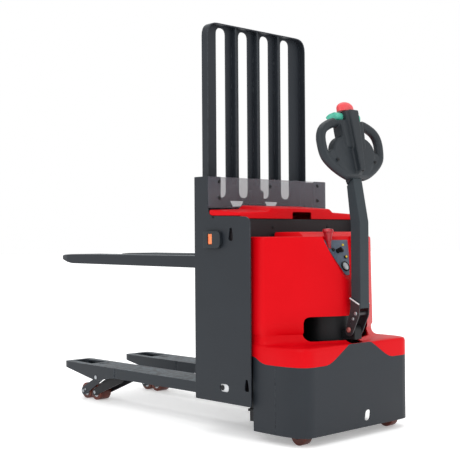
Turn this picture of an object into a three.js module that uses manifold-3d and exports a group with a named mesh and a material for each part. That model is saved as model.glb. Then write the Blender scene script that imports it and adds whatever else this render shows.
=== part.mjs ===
// Double-deck walkie stacker: initial-lift support legs, a low mast with a fork carriage and a
// tall load backrest, a battery hood, a steered drive unit and a tiller.
// Millimetres. X runs from the forks (-) to the driver (+), Y from the truck's left (-) to its
// right (+), Z up from the floor. X = 0 is the fork-side edge of the side panels; the last lines
// move the origin to the middle of the footprint.
import * as THREE from "three";
import { mergeVertices } from "three/addons/utils/BufferGeometryUtils.js";
import Module from "manifold-3d";

const wasm = await Module();
wasm.setup();

// ---------------------------------------------------------------- driving dimensions
const gap = 0.4; // between pieces that are fixed to each other
const play = 3; // between pieces that slide past each other
const initialLift = 100; // travel of the legs; they are drawn raised by this

const panel = {
  length: 347, bottom: 141, top: 1113, neck: 87, shoulder: 933, shoulderRise: 7, sheet: 6, halfWidth: 386,
  rearRadius: 38, notchRadius: 34, flange: 72, frontFlange: 54, flangeBottom: 205,
};
const skirt = {
  front: 340, rear: 615, halfWidth: 365, bottom: 40, seam: 322, sheet: 5, creaseX: 465,
  flatHalf: 285, tongueTop: 398, tongueHalf: 72, tongueFoot: 196, shoulderRise: 28,
  towHoleZ: 88, towHoleY: 44,
};
const cover = {
  front: 292, wall: 5, shelf: 398, shelfRound: 14, top: 848, deck: 868, deckHalf: 185,
  sideEnd: 391, sideHalf: 356, creaseX: 482, creaseHalf: 202, noseRadius: 135,
  slotBottom: 410, slotTop: 508, slotHalf: 206, slotRound: 30,
};
const consolePocket = {
  topX: 475, topZ: 838, bottomX: 549, bottomZ: 674, halfTop: 80, halfBottom: 12, plate: 3,
  rim: 22, backing: 10,
};
const steer = {
  x: 425, drumPlay: 22, drumBottom: 404, drumTop: 512, motorRadius: 72, motorTop: 690,
  wheelRadius: 115, wheelWidth: 74, axleRadius: 16,
};
const tiller = {
  pivotX: 582, pivotZ: 453, pinRadius: 10, armFront: 590, armRear: 640, armHalf: 29, armBottom: 545,
  bend: 907, neckFront: 570, neckRear: 604, neckFrontZ: 1060, neckRearZ: 1093, wall: 4,
  cheek: 4, cheekRadius: 26,
};
const head = {
  x: 594, z: 1105, tilt: 10.8, thickness: 44, gripRadius: 21, gripHalf: 187, capBottom: 278, capTop: 322,
  capHalf: 52, throttleAt: 257, throttleHalf: 78,
};
const leg = {
  length: 1206, halfOuter: 286, width: 168, top: 191, height: 50, sheet: 6, topSheet: 8,
  apexX: 886, apexZ: 112, noseZ: 157, jointX: 731, noseRound: 62, slitX: 936,
};
const roller = {
  radius: 41, width: 70, bore: 9, pin: 8, frontPivotX: 896, frontPivotZ: 128, frontX: 1052,
  rearPivotX: 745, rearPivotZ: 140, rearX: 966, plate: 6, edge: 5,
};
const fork = {
  length: 1262, halfOuter: 285, width: 180, top: 763, heel: 55, tip: 48, tipLength: 162, sheet: 7,
  shank: 38, shankTop: 862,
};
const backrest = {
  x: 19, sheet: 6, halfWidth: 321, top: 1810, bottom: 700, slotTop: 1798, slotBottom: 1028,
  slotWidth: 60, slotPitch: 140, corner: 62, rim: 38, rimBottom: 960, rimSheet: 5, rib: 26, ribSheet: 8,
};
const mast = {
  front: 14, rear: 79, halfWidth: 192, flange: 40, sheet: 8, top: 985, tie: 55, rollerRadius: 23.4,
  rollerWidth: 28,
};
const ram = {
  radius: 17, barrel: 24, barrelTop: 640, top: 890, pulleyRadius: 25, pulleyZ: 935, pulleyWidth: 20,
  chain: 6.4, chainWidth: 16,
};
const battery = { front: 96, rear: 280, halfWidth: 374, top: 925, sheet: 3, packTop: 720 };
const hood = {
  front: 95, rear: 287, frontTop: 990, wingDrop: 17, slope: 0.085, deckHalf: 190, bottom: 927,
  lip: 2.5, wall: 4, notchHalf: 62, notchTop: 957,
};
const beam = { front: 2, rear: 92, bottom: 146, top: 196, floor: 12, sheet: 8 };
const guard = { sheet: 4, bottom: 976, edge: 2 };
const lamp = {
  front: 73, rear: 180, bottom: 800, top: 874, proud: 16, lensX: 115.5, lensWidth: 27, lensBottom: 817,
  lensTop: 862, pocket: 5,
};
const chassis = {
  plateBottom: 118, plate: 10, wellRadius: 150, postFront: 301, postRear: 330, postOuter: 348,
  postWidth: 22, postBottom: 75, postTop: 800,
};
const caster = { x: 515, y: 285, radius: 40, width: 44, fork: 5, offset: 22 };
const lifter = { x: 314, y: 232, barrel: 25, rod: 15, barrelTop: 430, top: 560 };
const spring = {
  y: 43, footX: 560, footZ: 422, topX: 612, topZ: 545, barrel: 8, rod: 4, pin: 4, barrelEnd: 80,
};
const stopButton = { x: 488, y: -56, bottom: 796, stem: 13, cap: 25, capBottom: 864, capTop: 882 };

const drumRadius = cover.noseRadius - cover.wall - steer.drumPlay;
const throttleBay = { below: 24, above: 21 }; // room for the throttle in the head, about its shaft

// ---------------------------------------------------------------- finishes
const finish = (color, roughness, metalness, extra = {}) =>
  new THREE.MeshStandardMaterial({ color, roughness, metalness, ...extra });
const paint = finish(0x363c42, 0.55, 0.2);
const deckPaint = finish(0x5b6770, 0.5, 0.25);
const redPlastic = finish(0xe81e2a, 0.4, 0);
const darkPlastic = finish(0x30363b, 0.6, 0);
const blackSteel = finish(0x17181a, 0.5, 0.4);
const steel = finish(0x9aa0a6, 0.35, 0.9);
const urethane = finish(0x6e3226, 0.5, 0);
const smoked = finish(0x8b8d96, 0.15, 0, { transparent: true, opacity: 0.45 });

// ---------------------------------------------------------------- solids
function solid(geometry) {
  const bare = geometry.index ? geometry.toNonIndexed() : geometry.clone();
  for (const name of Object.keys(bare.attributes)) {
    if (name !== "position") bare.deleteAttribute(name);
  }
  const merged = mergeVertices(bare, 1e-4);
  return new wasm.Manifold(new wasm.Mesh({
    numProp: 3,
    vertProperties: new Float32Array(merged.attributes.position.array),
    triVerts: new Uint32Array(merged.index.array),
  }));
}

const join = (...pieces) => pieces.reduce((whole, piece) => whole.add(piece));
const cut = (whole, ...tools) => tools.reduce((rest, tool) => rest.subtract(tool), whole);

function block(x0, x1, y0, y1, z0, z1) {
  const geometry = new THREE.BoxGeometry(x1 - x0, y1 - y0, z1 - z0);
  geometry.translate((x0 + x1) / 2, (y0 + y1) / 2, (z0 + z1) / 2);
  return solid(geometry);
}

// A round bar; axis is "x", "y" or "z" and at is its middle.
function bar(axis, radius, length, at, sides = 20) {
  const geometry = new THREE.CylinderGeometry(radius, radius, length, sides);
  if (axis === "x") geometry.rotateZ(Math.PI / 2);
  if (axis === "z") geometry.rotateX(Math.PI / 2);
  geometry.translate(...at);
  return solid(geometry);
}

function tube(axis, radius, bore, length, at, sides = 20) {
  return cut(bar(axis, radius, length, at, sides), bar(axis, bore, length + 2, at, sides));
}

// Closed outline from [u, v, cornerRadius] points; a radius rounds that corner.
function outline(points, curve = 4) {
  const shape = new THREE.Shape();
  const count = points.length;
  points.forEach(([u, v, radius = 0], i) => {
    const here = new THREE.Vector2(u, v);
    const before = new THREE.Vector2(...points[(i + count - 1) % count].slice(0, 2));
    const after = new THREE.Vector2(...points[(i + 1) % count].slice(0, 2));
    const start = here.clone().lerp(before, Math.min(0.499, radius / here.distanceTo(before)));
    const end = here.clone().lerp(after, Math.min(0.499, radius / here.distanceTo(after)));
    if (i === 0) shape.moveTo(start.x, start.y);
    else shape.lineTo(start.x, start.y);
    if (radius > 0) shape.quadraticCurveTo(u, v, end.x, end.y);
  });
  shape.closePath();
  shape.userCurve = curve;
  return shape;
}

const extrude = (shape, depth, options = {}) =>
  new THREE.ExtrudeGeometry(shape, { depth, bevelEnabled: false, curveSegments: shape.userCurve ?? 4,
    ...options });

// Outline in X and Z, from y0 to y1.
function slabY(shape, y0, y1, options) {
  const geometry = extrude(shape, y1 - y0, options);
  geometry.rotateX(Math.PI / 2);
  geometry.translate(0, y1, 0);
  return solid(geometry);
}

// Outline in X and Y, from z0 to z1.
function slabZ(shape, z0, z1, options) {
  const geometry = extrude(shape, z1 - z0, options);
  geometry.translate(0, 0, z0);
  return solid(geometry);
}

// Outline in Y and Z, from x0 to x1.
function slabX(shape, x0, x1, options) {
  const geometry = extrude(shape, x1 - x0, options);
  geometry.applyMatrix4(new THREE.Matrix4().makeBasis(
    new THREE.Vector3(0, 1, 0), new THREE.Vector3(0, 0, 1), new THREE.Vector3(1, 0, 0)));
  geometry.translate(x0, 0, 0);
  return solid(geometry);
}

// The same body on the other side of the truck's middle plane.
const mirrored = (body) => body.mirror([0, 1, 0]);
const onSide = (side, body) => (side < 0 ? body : mirrored(body));

const machine = new THREE.Group();

function place(name, body, material) {
  const mesh = body.getMesh();
  const geometry = new THREE.BufferGeometry();
  geometry.setAttribute("position", new THREE.BufferAttribute(new Float32Array(mesh.vertProperties), 3));
  geometry.setIndex(new THREE.BufferAttribute(new Uint32Array(mesh.triVerts), 1));
  geometry.computeVertexNormals();
  const part = new THREE.Mesh(geometry, material);
  part.name = name;
  machine.add(part);
}

const sides = [["left", -1], ["right", 1]];

// ---------------------------------------------------------------- support legs
const legMiddle = leg.halfOuter - leg.width / 2;

function supportLeg() {
  const under = leg.top - leg.height;
  const profile = outline([
    [-leg.length, leg.noseZ + 4, 8], [-leg.length + 49, leg.noseZ, 10], [-leg.apexX - 60,
      leg.apexZ + 8, 10],
    [-leg.apexX, leg.apexZ, 14], [-leg.apexX + 86, under - 8, 10], [-leg.jointX - 9, under],
    [beam.front - gap, under], [beam.front - gap, leg.top], [-leg.length + 12, leg.top, 12],
    [-leg.length, leg.top - 12, 8],
  ]);
  const plan = outline([
    [beam.front - gap, -leg.halfOuter], [beam.front - gap, -leg.halfOuter + leg.width],
    [-leg.length, -leg.halfOuter + leg.width, leg.noseRound], [-leg.length, -leg.halfOuter, leg.noseRound],
  ], 6);
  const inner = leg.width / 2 - leg.sheet;
  const hollow = block(-leg.length + 60, 10, -legMiddle - inner, -legMiddle + inner, 0,
    leg.top - leg.topSheet);
  const window = slabZ(outline([
    [-leg.length + 48, -legMiddle - 40, 12], [-leg.length + 226, -legMiddle - 50, 8],
    [-leg.length + 226, -legMiddle + 50, 8], [-leg.length + 48, -legMiddle + 40, 12],
  ]), 120, leg.top + 5);
  const slit = block(-leg.slitX - 8, -leg.slitX + 8, -legMiddle - 32, -legMiddle + 32, 150, leg.top + 5);
  const groove = (y) => block(-leg.jointX - 9, -leg.jointX + 9, y - 2, y + 2, 0, leg.top + 5);
  const body = slabY(profile, -leg.halfOuter - 1, -leg.halfOuter + leg.width + 1).intersect(slabZ(plan,
    0, 400));
  return cut(body, hollow, window, slit, groove(-leg.halfOuter), groove(-leg.halfOuter + leg.width));
}

// Side plate of a roller arm: a flat link with round ends.
function link(x0, z0, r0, x1, z1, r1, y0, y1) {
  const along = new THREE.Vector2(x1 - x0, z1 - z0).normalize();
  const across = new THREE.Vector2(-along.y, along.x);
  const corner = (x, z, r, s) => [x + across.x * r * s, z + across.y * r * s];
  const web = outline([corner(x0, z0, r0, -1), corner(x1, z1, r1, -1), corner(x1, z1, r1, 1),
    corner(x0, z0, r0, 1)]);
  return join(slabY(web, y0, y1), bar("y", r0, y1 - y0, [x0, (y0 + y1) / 2, z0], 16),
    bar("y", r1, y1 - y0, [x1, (y0 + y1) / 2, z1], 16));
}

const rearPlate = roller.width / 2 + 2;
const frontPlate = rearPlate + roller.plate + 2;

function frontArm() {
  const wall = leg.width / 2 - leg.sheet - gap;
  const cheeks = [-1, 1].flatMap((s) => {
    const plate = link(-roller.frontPivotX, roller.frontPivotZ, 17, -roller.frontX, roller.radius, 21,
      frontPlate, frontPlate + roller.plate);
    const stub = bar("y", roller.pin, wall - frontPlate,
      [-roller.frontPivotX, (wall + frontPlate) / 2, roller.frontPivotZ], 14);
    const half = join(plate, stub);
    return s < 0 ? mirrored(half) : half;
  });
  const axle = bar("y", roller.pin, 2 * frontPlate + 2, [-roller.frontX, 0, roller.radius], 14);
  return join(axle, ...cheeks).translate([0, -legMiddle, 0]);
}

function rearArm() {
  const wall = leg.width / 2 - leg.sheet - gap;
  const plate = link(-roller.rearPivotX, roller.rearPivotZ, 28, -roller.rearX, roller.radius, 17,
    rearPlate, rearPlate + roller.plate);
  const pivot = bar("y", roller.pin, 2 * wall, [-roller.rearPivotX, 0, roller.rearPivotZ], 14);
  const axle = bar("y", roller.pin, 2 * rearPlate + 2, [-roller.rearX, 0, roller.radius], 14);
  return join(pivot, axle, plate, mirrored(plate)).translate([0, -legMiddle, 0]);
}

function loadRoller(x) {
  const { edge } = roller;
  const half = roller.width / 2;
  const profile = [
    [roller.bore, -half], [roller.radius - edge, -half], [roller.radius, -half + edge],
    [roller.radius, half - edge], [roller.radius - edge, half], [roller.bore, half], [roller.bore, -half],
  ].map(([r, y]) => new THREE.Vector2(r, y));
  const geometry = new THREE.LatheGeometry(profile, 24);
  geometry.translate(x, -legMiddle, roller.radius);
  return solid(geometry);
}

function pushRod() {
  const z = leg.top - leg.topSheet - 16;
  return bar("x", 8, leg.jointX - 40, [-leg.jointX / 2 - 4, -legMiddle, z], 12);
}

for (const [name, side] of sides) {
  place(`leg_${name}`, onSide(side, supportLeg()), deckPaint);
  place(`front_roller_arm_${name}`, onSide(side, frontArm()), deckPaint);
  place(`rear_roller_arm_${name}`, onSide(side, rearArm()), blackSteel);
  place(`front_roller_${name}`, onSide(side, loadRoller(-roller.frontX)), urethane);
  place(`rear_roller_${name}`, onSide(side, loadRoller(-roller.rearX)), urethane);
  place(`push_rod_${name}`, onSide(side, pushRod()), steel);
}

// ---------------------------------------------------------------- lift frame
function keyhole(x, z0, z1) {
  const wide = (z1 - z0) * 0.27;
  return outline([
    [x - wide, z0 + wide, wide], [x - wide * 0.9, z0, wide * 0.8], [x + wide * 0.9, z0, wide * 0.8],
    [x + wide, z0 + wide, wide], [x + wide * 0.45, z1, wide * 0.4], [x - wide * 0.45, z1, wide * 0.4],
  ], 3);
}

function sidePanel() {
  const face = outline([
    [0, panel.bottom, 8], [panel.length, panel.bottom, 8], [panel.length, panel.shoulder, panel.rearRadius],
    [panel.neck, panel.shoulder + panel.shoulderRise, panel.notchRadius], [panel.neck, panel.top, 4],
      [0, panel.top, 4],
  ], 5);
  const outer = -panel.halfWidth;
  const plate = slabY(face, outer, outer + panel.sheet);
  const holes = [keyhole(231, 831, 888), keyhole(322, 202, 254),
    outline([[155, 187, 17], [213, 187, 17], [213, 221, 17], [155, 221, 17]], 3)];
  const flange = block(0, panel.sheet, outer + 1, outer + panel.sheet + panel.frontFlange,
    panel.flangeBottom, panel.top);
  const rearFlange = block(panel.neck - panel.sheet, panel.neck, outer + 1,
    outer + panel.sheet + panel.flange,
    guard.bottom, panel.top);
  const drilled = holes.map((hole) => slabY(hole, outer - 5, outer + panel.sheet + 5));
  return join(cut(plate, ...drilled), flange, rearFlange);
}

function liftBeam() {
  const half = panel.halfWidth - panel.sheet - gap;
  const box = block(beam.front, beam.rear, -half, half, beam.bottom, beam.top);
  const hollow = block(beam.front + beam.sheet, beam.rear - beam.sheet, -half + beam.sheet,
    half - beam.sheet,
    0, beam.top - beam.sheet);
  const floor = block(beam.rear - beam.sheet, battery.rear, -half, half, beam.bottom,
    beam.bottom + beam.floor);
  return join(cut(box, hollow), floor);
}

function mastFrame() {
  const bottom = beam.top + gap;
  const channel = (side) => {
    const whole = block(mast.front, mast.rear, -mast.halfWidth, -mast.halfWidth + mast.flange, bottom,
      mast.top);
    const inside = block(mast.front + mast.sheet, mast.rear - mast.sheet, -mast.halfWidth + mast.sheet,
      -mast.halfWidth + mast.flange + 1, bottom - 1, mast.top + 1);
    return onSide(side, cut(whole, inside));
  };
  const cross = (z0, z1) => block(mast.rear - 0.2, mast.rear + mast.sheet - 2, -mast.halfWidth,
    mast.halfWidth, z0, z1);
  return join(channel(-1), channel(1), cross(mast.top - mast.tie, mast.top), cross(bottom,
    bottom + mast.tie));
}

function batteryBox() {
  const bottom = beam.bottom + beam.floor + gap;
  const whole = block(battery.front, battery.rear, -battery.halfWidth, battery.halfWidth, bottom,
    battery.top);
  const inside = block(battery.front + battery.sheet, battery.rear - battery.sheet,
    -battery.halfWidth + battery.sheet,
    battery.halfWidth - battery.sheet, bottom + battery.sheet, battery.top + 10);
  return cut(whole, inside);
}

function batteryPack() {
  const bottom = beam.bottom + beam.floor + gap + battery.sheet + gap;
  return block(battery.front + 10, battery.rear - 10, -battery.halfWidth + 30, battery.halfWidth - 30,
    bottom, battery.packTop);
}

function guardScreen() {
  const half = panel.halfWidth - guard.edge;
  const face = outline([[-half, guard.bottom, 5], [half, guard.bottom, 5], [half, panel.top - 1, 3],
    [-half, panel.top - 1, 3]], 2);
  return slabX(face, panel.neck + gap, panel.neck + gap + guard.sheet);
}

function sideLamp() {
  const outer = -panel.halfWidth - gap;
  const shell = slabY(outline([
    [lamp.front, lamp.bottom, 14], [lamp.rear, lamp.bottom, 26], [lamp.rear, lamp.top, 26],
      [lamp.front, lamp.top, 14],
  ], 5), outer - lamp.proud, outer);
  const pocket = block(lamp.lensX - lamp.lensWidth / 2 - gap, lamp.lensX + lamp.lensWidth / 2 + gap,
    outer - lamp.proud - 1, outer - 5, lamp.lensBottom - gap, lamp.lensTop + gap);
  return cut(shell, pocket);
}

function lampLens() {
  const outer = -panel.halfWidth - gap;
  return block(lamp.lensX - lamp.lensWidth / 2, lamp.lensX + lamp.lensWidth / 2,
    outer - lamp.proud + 3, outer - 5 - gap,
    lamp.lensBottom, lamp.lensTop);
}

function mastCylinder() {
  const bottom = beam.top + gap;
  const middle = (mast.front + mast.rear) / 2;
  const whole = bar("z", ram.barrel, ram.barrelTop - bottom, [middle, 0, (ram.barrelTop + bottom) / 2], 24);
  const bore = bar("z", ram.radius + 1, ram.barrelTop, [middle, 0, bottom + 12 + ram.barrelTop / 2], 24);
  return cut(whole, bore);
}

const mastMiddle = (mast.front + mast.rear) / 2;
const chainX = ram.pulleyRadius + gap;

function anchorChain() {
  const z0 = beam.top + gap;
  return block(mastMiddle + chainX, mastMiddle + chainX + ram.chain, -ram.chainWidth / 2,
    ram.chainWidth / 2,
    z0, ram.pulleyZ);
}

for (const [name, side] of sides) {
  place(`side_panel_${name}`, onSide(side, sidePanel()), paint);
  place(`side_lamp_${name}`, onSide(side, sideLamp()), darkPlastic);
  place(`lamp_lens_${name}`, onSide(side, lampLens()), finish(0xff8a3a, 0.3, 0));
}
place("lift_beam", liftBeam(), paint);
place("mast", mastFrame(), blackSteel);
place("battery_box", batteryBox(), paint);
place("battery_pack", batteryPack(), blackSteel);
place("guard_screen", guardScreen(), smoked);
place("mast_cylinder", mastCylinder(), blackSteel);
place("anchor_chain", anchorChain(), steel);

// ---------------------------------------------------------------- battery hood
function hoodProfile(inset, floor) {
  const half = panel.halfWidth - inset;
  const deck = hood.deckHalf - inset;
  const top = hood.frontTop - inset;
  const wing = top - hood.wingDrop;
  return outline([
    [-half, floor], [half, floor], [half, wing - 6, 10], [deck + 22, wing], [deck, top, 6], [-deck, top, 6],
    [-deck - 22, wing], [-half, wing - 6, 10],
  ], 3);
}

function batteryHood() {
  const deep = 200;
  const slopedSlab = (inset, x0, x1) => {
    const geometry = extrude(hoodProfile(inset, hood.bottom - deep), x1 - x0);
    geometry.applyMatrix4(new THREE.Matrix4().makeBasis(
      new THREE.Vector3(0, 1, 0), new THREE.Vector3(0, 0, 1), new THREE.Vector3(1, 0, 0)));
    geometry.translate(x0, 0, 0);
    geometry.applyMatrix4(new THREE.Matrix4().set(
      1, 0, 0, 0,
      0, 1, 0, 0,
      -hood.slope, 0, 1, hood.slope * hood.front,
      0, 0, 0, 1));
    return solid(geometry);
  };
  const half = panel.halfWidth;
  const shell = cut(slopedSlab(0, hood.front, hood.rear), slopedSlab(hood.wall, hood.front + hood.wall,
    hood.rear - hood.wall));
  const inner = half - panel.sheet - 1;
  const below = block(0, 400, -half - 5, half + 5, 0, hood.bottom);
  const seam = panel.shoulder + hood.lip;
  const shoulder = outline([
    [0, 0], [panel.length, 0], [panel.length, seam], [panel.neck + hood.lip, seam + panel.shoulderRise,
      panel.notchRadius],
    [panel.neck + hood.lip, panel.top], [0, panel.top],
  ], 5);
  const underLip = [-1, 1].map((s) => onSide(s, slabY(shoulder, -half - 5, -inner)));
  const handHole = block(hood.rear - 20, hood.rear + 5, -hood.notchHalf, hood.notchHalf, 0, hood.notchTop);
  return cut(shell, below, ...underLip, handHole);
}

place("hood", batteryHood(), redPlastic);

// ---------------------------------------------------------------- lift ram and fork carriage
function mastRam() {
  const bottom = ram.barrelTop - 180;
  const rod = bar("z", ram.radius, ram.top - bottom + 2, [mastMiddle, 0, (ram.top + bottom) / 2 + 1], 20);
  const half = ram.pulleyWidth / 2 + 2;
  const head = block(mastMiddle - 18, mastMiddle + 18, -half - 8, half + 8, ram.top, ram.top + 14);
  const ear = block(mastMiddle - 13, mastMiddle + 13, half, half + 8, ram.top + 10, ram.pulleyZ + 14);
  const pin = bar("y", 7, 2 * half + 4, [mastMiddle, 0, ram.pulleyZ], 14);
  return join(rod, head, ear, mirrored(ear), pin);
}

function chainPulley() {
  return tube("y", ram.pulleyRadius, 7.6, ram.pulleyWidth, [mastMiddle, 0, ram.pulleyZ], 24);
}

const carriageRear = -backrest.x + backrest.sheet;

function loadBackrest() {
  const half = backrest.halfWidth;
  const slots = [-1.5, -0.5, 0.5, 1.5].map((k) => {
    const y = k * backrest.slotPitch;
    const w = backrest.slotWidth / 2;
    return slabX(outline([[y - w, backrest.slotBottom, w], [y + w, backrest.slotBottom, w],
      [y + w, backrest.slotTop, w], [y - w, backrest.slotTop, w]], 5), -60, 60);
  });
  const window = (side) => onSide(side, slabX(outline([[-158, 1014], [-68, 1014], [-106, 958], [-120,
    958]]), -60, 60));
  const face = (inset) => outline([
    [-half + inset, backrest.bottom - inset], [half - inset, backrest.bottom - inset],
    [half - inset, backrest.top - inset, backrest.corner - inset],
    [-half + inset, backrest.top - inset, backrest.corner - inset],
  ], 6);
  const plate = cut(slabX(face(0), -backrest.x, carriageRear), ...slots, window(-1), window(1));
  const rim = cut(slabX(face(0), -backrest.x, -backrest.x + backrest.rim),
    slabX(face(backrest.rimSheet), -60, 60),
    block(-60, 60, -half - 5, half + 5, 0, backrest.rimBottom));
  const ribs = [-1, 0, 1].map((k) => block(carriageRear - 1, carriageRear + backrest.rib,
    k * backrest.slotPitch - backrest.ribSheet / 2,
    k * backrest.slotPitch + backrest.ribSheet / 2, backrest.slotBottom + 60,
      backrest.top - backrest.rimSheet));
  const chainBracket = slabX(outline([[-41, 988, 3], [41, 988, 3], [41, 1066, 16], [-41, 1066, 16]],
    3), carriageRear - 1, 6);
  const anchorZ = fork.top + 12;
  const anchor = block(carriageRear - 1, mastMiddle - chainX + 1, -14, 14, anchorZ - 30, anchorZ);
  const arm = (side) => onSide(side, block(carriageRear - 1, mastMiddle + 14,
    -mast.halfWidth + mast.flange + play,
    -mast.halfWidth + mast.flange + play + 10, backrest.bottom + 10, 905));
  const shafts = [740, 880].flatMap((z) => [-1, 1].map((s) => onSide(s, bar("y", 9, mast.rollerWidth + 6,
    [mastMiddle, -mast.halfWidth + mast.flange + play + 6 - (mast.rollerWidth + 6) / 2, z], 14))));
  return join(plate, rim, ...ribs, chainBracket, anchor, arm(-1), arm(1), ...shafts);
}

function carriageRoller(z) {
  const y = -mast.halfWidth + mast.flange + play - 1 - mast.rollerWidth / 2;
  return tube("y", mast.rollerRadius, 9.6, mast.rollerWidth, [mastMiddle, y, z], 20);
}

function carriageChain() {
  return block(mastMiddle - chainX - ram.chain, mastMiddle - chainX, -ram.chainWidth / 2,
    ram.chainWidth / 2,
    fork.top + 12 + gap, ram.pulleyZ);
}

function loadFork() {
  const front = -backrest.x - gap;
  const bottom = fork.top - fork.heel;
  const tipBottom = fork.top - fork.tip;
  const profile = outline([
    [front, bottom], [front, fork.shankTop, 6], [front - fork.shank, fork.shankTop, 10],
    [front - fork.shank, fork.top], [-fork.length + 150, fork.top], [-fork.length + 40, fork.top - 4, 20],
    [-fork.length, fork.top - 12, 5], [-fork.length, fork.top - 27, 5],
    [-fork.length + fork.tipLength - 8, tipBottom, 6], [-fork.length + fork.tipLength, tipBottom],
  ], 3);
  const taper = outline([
    [front, -fork.halfOuter], [front, -fork.halfOuter + fork.width],
    [-fork.length + 110, -fork.halfOuter + fork.width],
    [-fork.length, -fork.halfOuter + fork.width - 40, 18], [-fork.length, -fork.halfOuter + 40, 18],
    [-fork.length + 110, -fork.halfOuter],
  ], 5);
  const body = slabY(profile, -fork.halfOuter - 1,
    -fork.halfOuter + fork.width + 1).intersect(slabZ(taper, 0, 2000));
  const hollow = block(-fork.length + fork.tipLength + 8, front - fork.shank - 10,
    -fork.halfOuter + fork.sheet,
    -fork.halfOuter + fork.width - fork.sheet, 0, fork.top - fork.sheet);
  return cut(body, hollow);
}

place("backrest", loadBackrest(), paint);
place("lift_ram", mastRam(), steel);
place("chain_pulley", chainPulley(), steel);
place("carriage_chain", carriageChain(), steel);
for (const [name, side] of sides) {
  place(`fork_${name}`, onSide(side, loadFork()), paint);
  place(`carriage_roller_${name}`, onSide(side, carriageRoller(880)), steel);
}

// ---------------------------------------------------------------- chassis, skirt and cover
function skirtPlan(inset, front) {
  const half = skirt.halfWidth - inset;
  const rear = skirt.rear - inset;
  const flat = skirt.flatHalf - inset * 0.6;
  const shape = new THREE.Shape();
  shape.moveTo(front, -half);
  shape.lineTo(skirt.creaseX, -half);
  shape.bezierCurveTo(rear - 50, -half + 2, rear, -half + 20, rear, -flat);
  shape.lineTo(rear, flat);
  shape.bezierCurveTo(rear, half - 20, rear - 50, half - 2, skirt.creaseX, half);
  shape.lineTo(front, half);
  shape.closePath();
  shape.userCurve = 7;
  return shape;
}

// Everything above the seam between skirt and cover, raised by lift; the tongue stays with the skirt.
function aboveSeam(lift) {
  const seam = skirt.seam + lift;
  const side = outline([
    [skirt.front - 100, seam + skirt.shoulderRise], [skirt.front + 8, seam + skirt.shoulderRise, 10],
    [skirt.front + 56, seam, 30], [skirt.rear + 40, seam], [skirt.rear + 40, 1000], [skirt.front - 100,
      1000],
  ], 4);
  const tongue = outline([
    [-skirt.tongueFoot - 60, seam - 60], [-skirt.tongueFoot - 60, seam], [-skirt.tongueFoot - lift,
      seam, 40],
    [-skirt.tongueHalf - lift, skirt.tongueTop + lift, 14], [skirt.tongueHalf + lift,
      skirt.tongueTop + lift, 14],
    [skirt.tongueFoot + lift, seam, 40], [skirt.tongueFoot + 60, seam], [skirt.tongueFoot + 60, seam - 60],
  ], 4);
  const inner = skirt.rear - skirt.sheet - (lift > 0 ? 2 : 1);
  return cut(slabY(side, -500, 500), slabX(tongue, inner, skirt.rear + 50));
}

function rearSkirt() {
  const outer = slabZ(skirtPlan(0, skirt.front), skirt.bottom, skirt.tongueTop + 4);
  const inner = slabZ(skirtPlan(skirt.sheet, skirt.front - 20), skirt.bottom - 5, skirt.tongueTop + 10);
  const towHole = slabX(outline([
    [skirt.towHoleY - 20, skirt.towHoleZ - 23, 15], [skirt.towHoleY + 14, skirt.towHoleZ - 23, 15],
    [skirt.towHoleY + 22, skirt.towHoleZ + 23, 15], [skirt.towHoleY - 12, skirt.towHoleZ + 23, 15],
  ], 4), skirt.rear - 40, skirt.rear + 10);
  return cut(outer, inner, aboveSeam(0), block(500, 700, -300, 300, skirt.tongueTop, 500), towHole);
}

function towerPlan(inset, front) {
  const sideHalf = cover.sideHalf - inset;
  const creaseHalf = cover.creaseHalf - inset;
  const creaseX = cover.creaseX - inset * 0.4;
  const radius = cover.noseRadius - inset;
  const reach = Math.hypot(creaseX - steer.x, creaseHalf);
  const tangent = Math.atan2(creaseHalf, creaseX - steer.x) - Math.acos(radius / reach);
  const shape = new THREE.Shape();
  shape.moveTo(front, -sideHalf);
  shape.lineTo(cover.sideEnd - inset, -sideHalf);
  shape.lineTo(creaseX, -creaseHalf);
  shape.absarc(steer.x, 0, radius, -tangent, tangent, false);
  shape.lineTo(creaseX, creaseHalf);
  shape.lineTo(cover.sideEnd - inset, sideHalf);
  shape.lineTo(front, sideHalf);
  shape.closePath();
  shape.userCurve = 8;
  return shape;
}

// Side profile of the tower's top: a raised middle deck that falls towards the driver.
function towerTop(inset, front) {
  const shoulders = outline([
    [front, 250], [700, 250], [700, cover.top - inset - 10], [cover.creaseX - 20,
      cover.top - inset - 6, 20],
    [cover.sideEnd, cover.top - inset], [front, cover.top - inset],
  ], 3);
  const deck = outline([
    [front, 250], [700, 250], [700, cover.top - inset - 10], [cover.creaseX, cover.top - inset - 8, 10],
    [cover.sideEnd + 45, cover.deck - inset, 20], [front, cover.deck - inset],
  ], 3);
  const half = cover.deckHalf - inset;
  return join(slabY(shoulders, -400, 400), slabY(deck, -half, half));
}

// Outline drawn in the console's sloping plane, up the slope and across it, pushed out by depth.
function onSlope(shape, depth) {
  const run = consolePocket.bottomX - consolePocket.topX;
  const rise = consolePocket.topZ - consolePocket.bottomZ;
  const length = Math.hypot(run, rise);
  const geometry = extrude(shape(length), depth);
  geometry.applyMatrix4(new THREE.Matrix4().makeBasis(
    new THREE.Vector3(0, 1, 0),
    new THREE.Vector3(-run / length, 0, rise / length),
    new THREE.Vector3(rise / length, 0, run / length)));
  geometry.translate(consolePocket.topX, 0, consolePocket.topZ);
  return geometry;
}

// The pocket in the nose, a rim wider than the console that lies in it.
function consoleCut(rim) {
  const top = consolePocket.halfTop + rim;
  const bottom = consolePocket.halfBottom + rim * 0.8;
  return onSlope((length) => outline([
    [-top, 60], [-top, -6, 20], [-consolePocket.halfTop * 0.72 - rim, -length * 0.4, 30],
    [-bottom, -length - rim + 8, 16], [bottom, -length - rim + 8, 16],
    [consolePocket.halfTop * 0.72 + rim, -length * 0.4, 30], [top, -6, 20], [top, 60],
  ], 3), 200);
}

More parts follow.
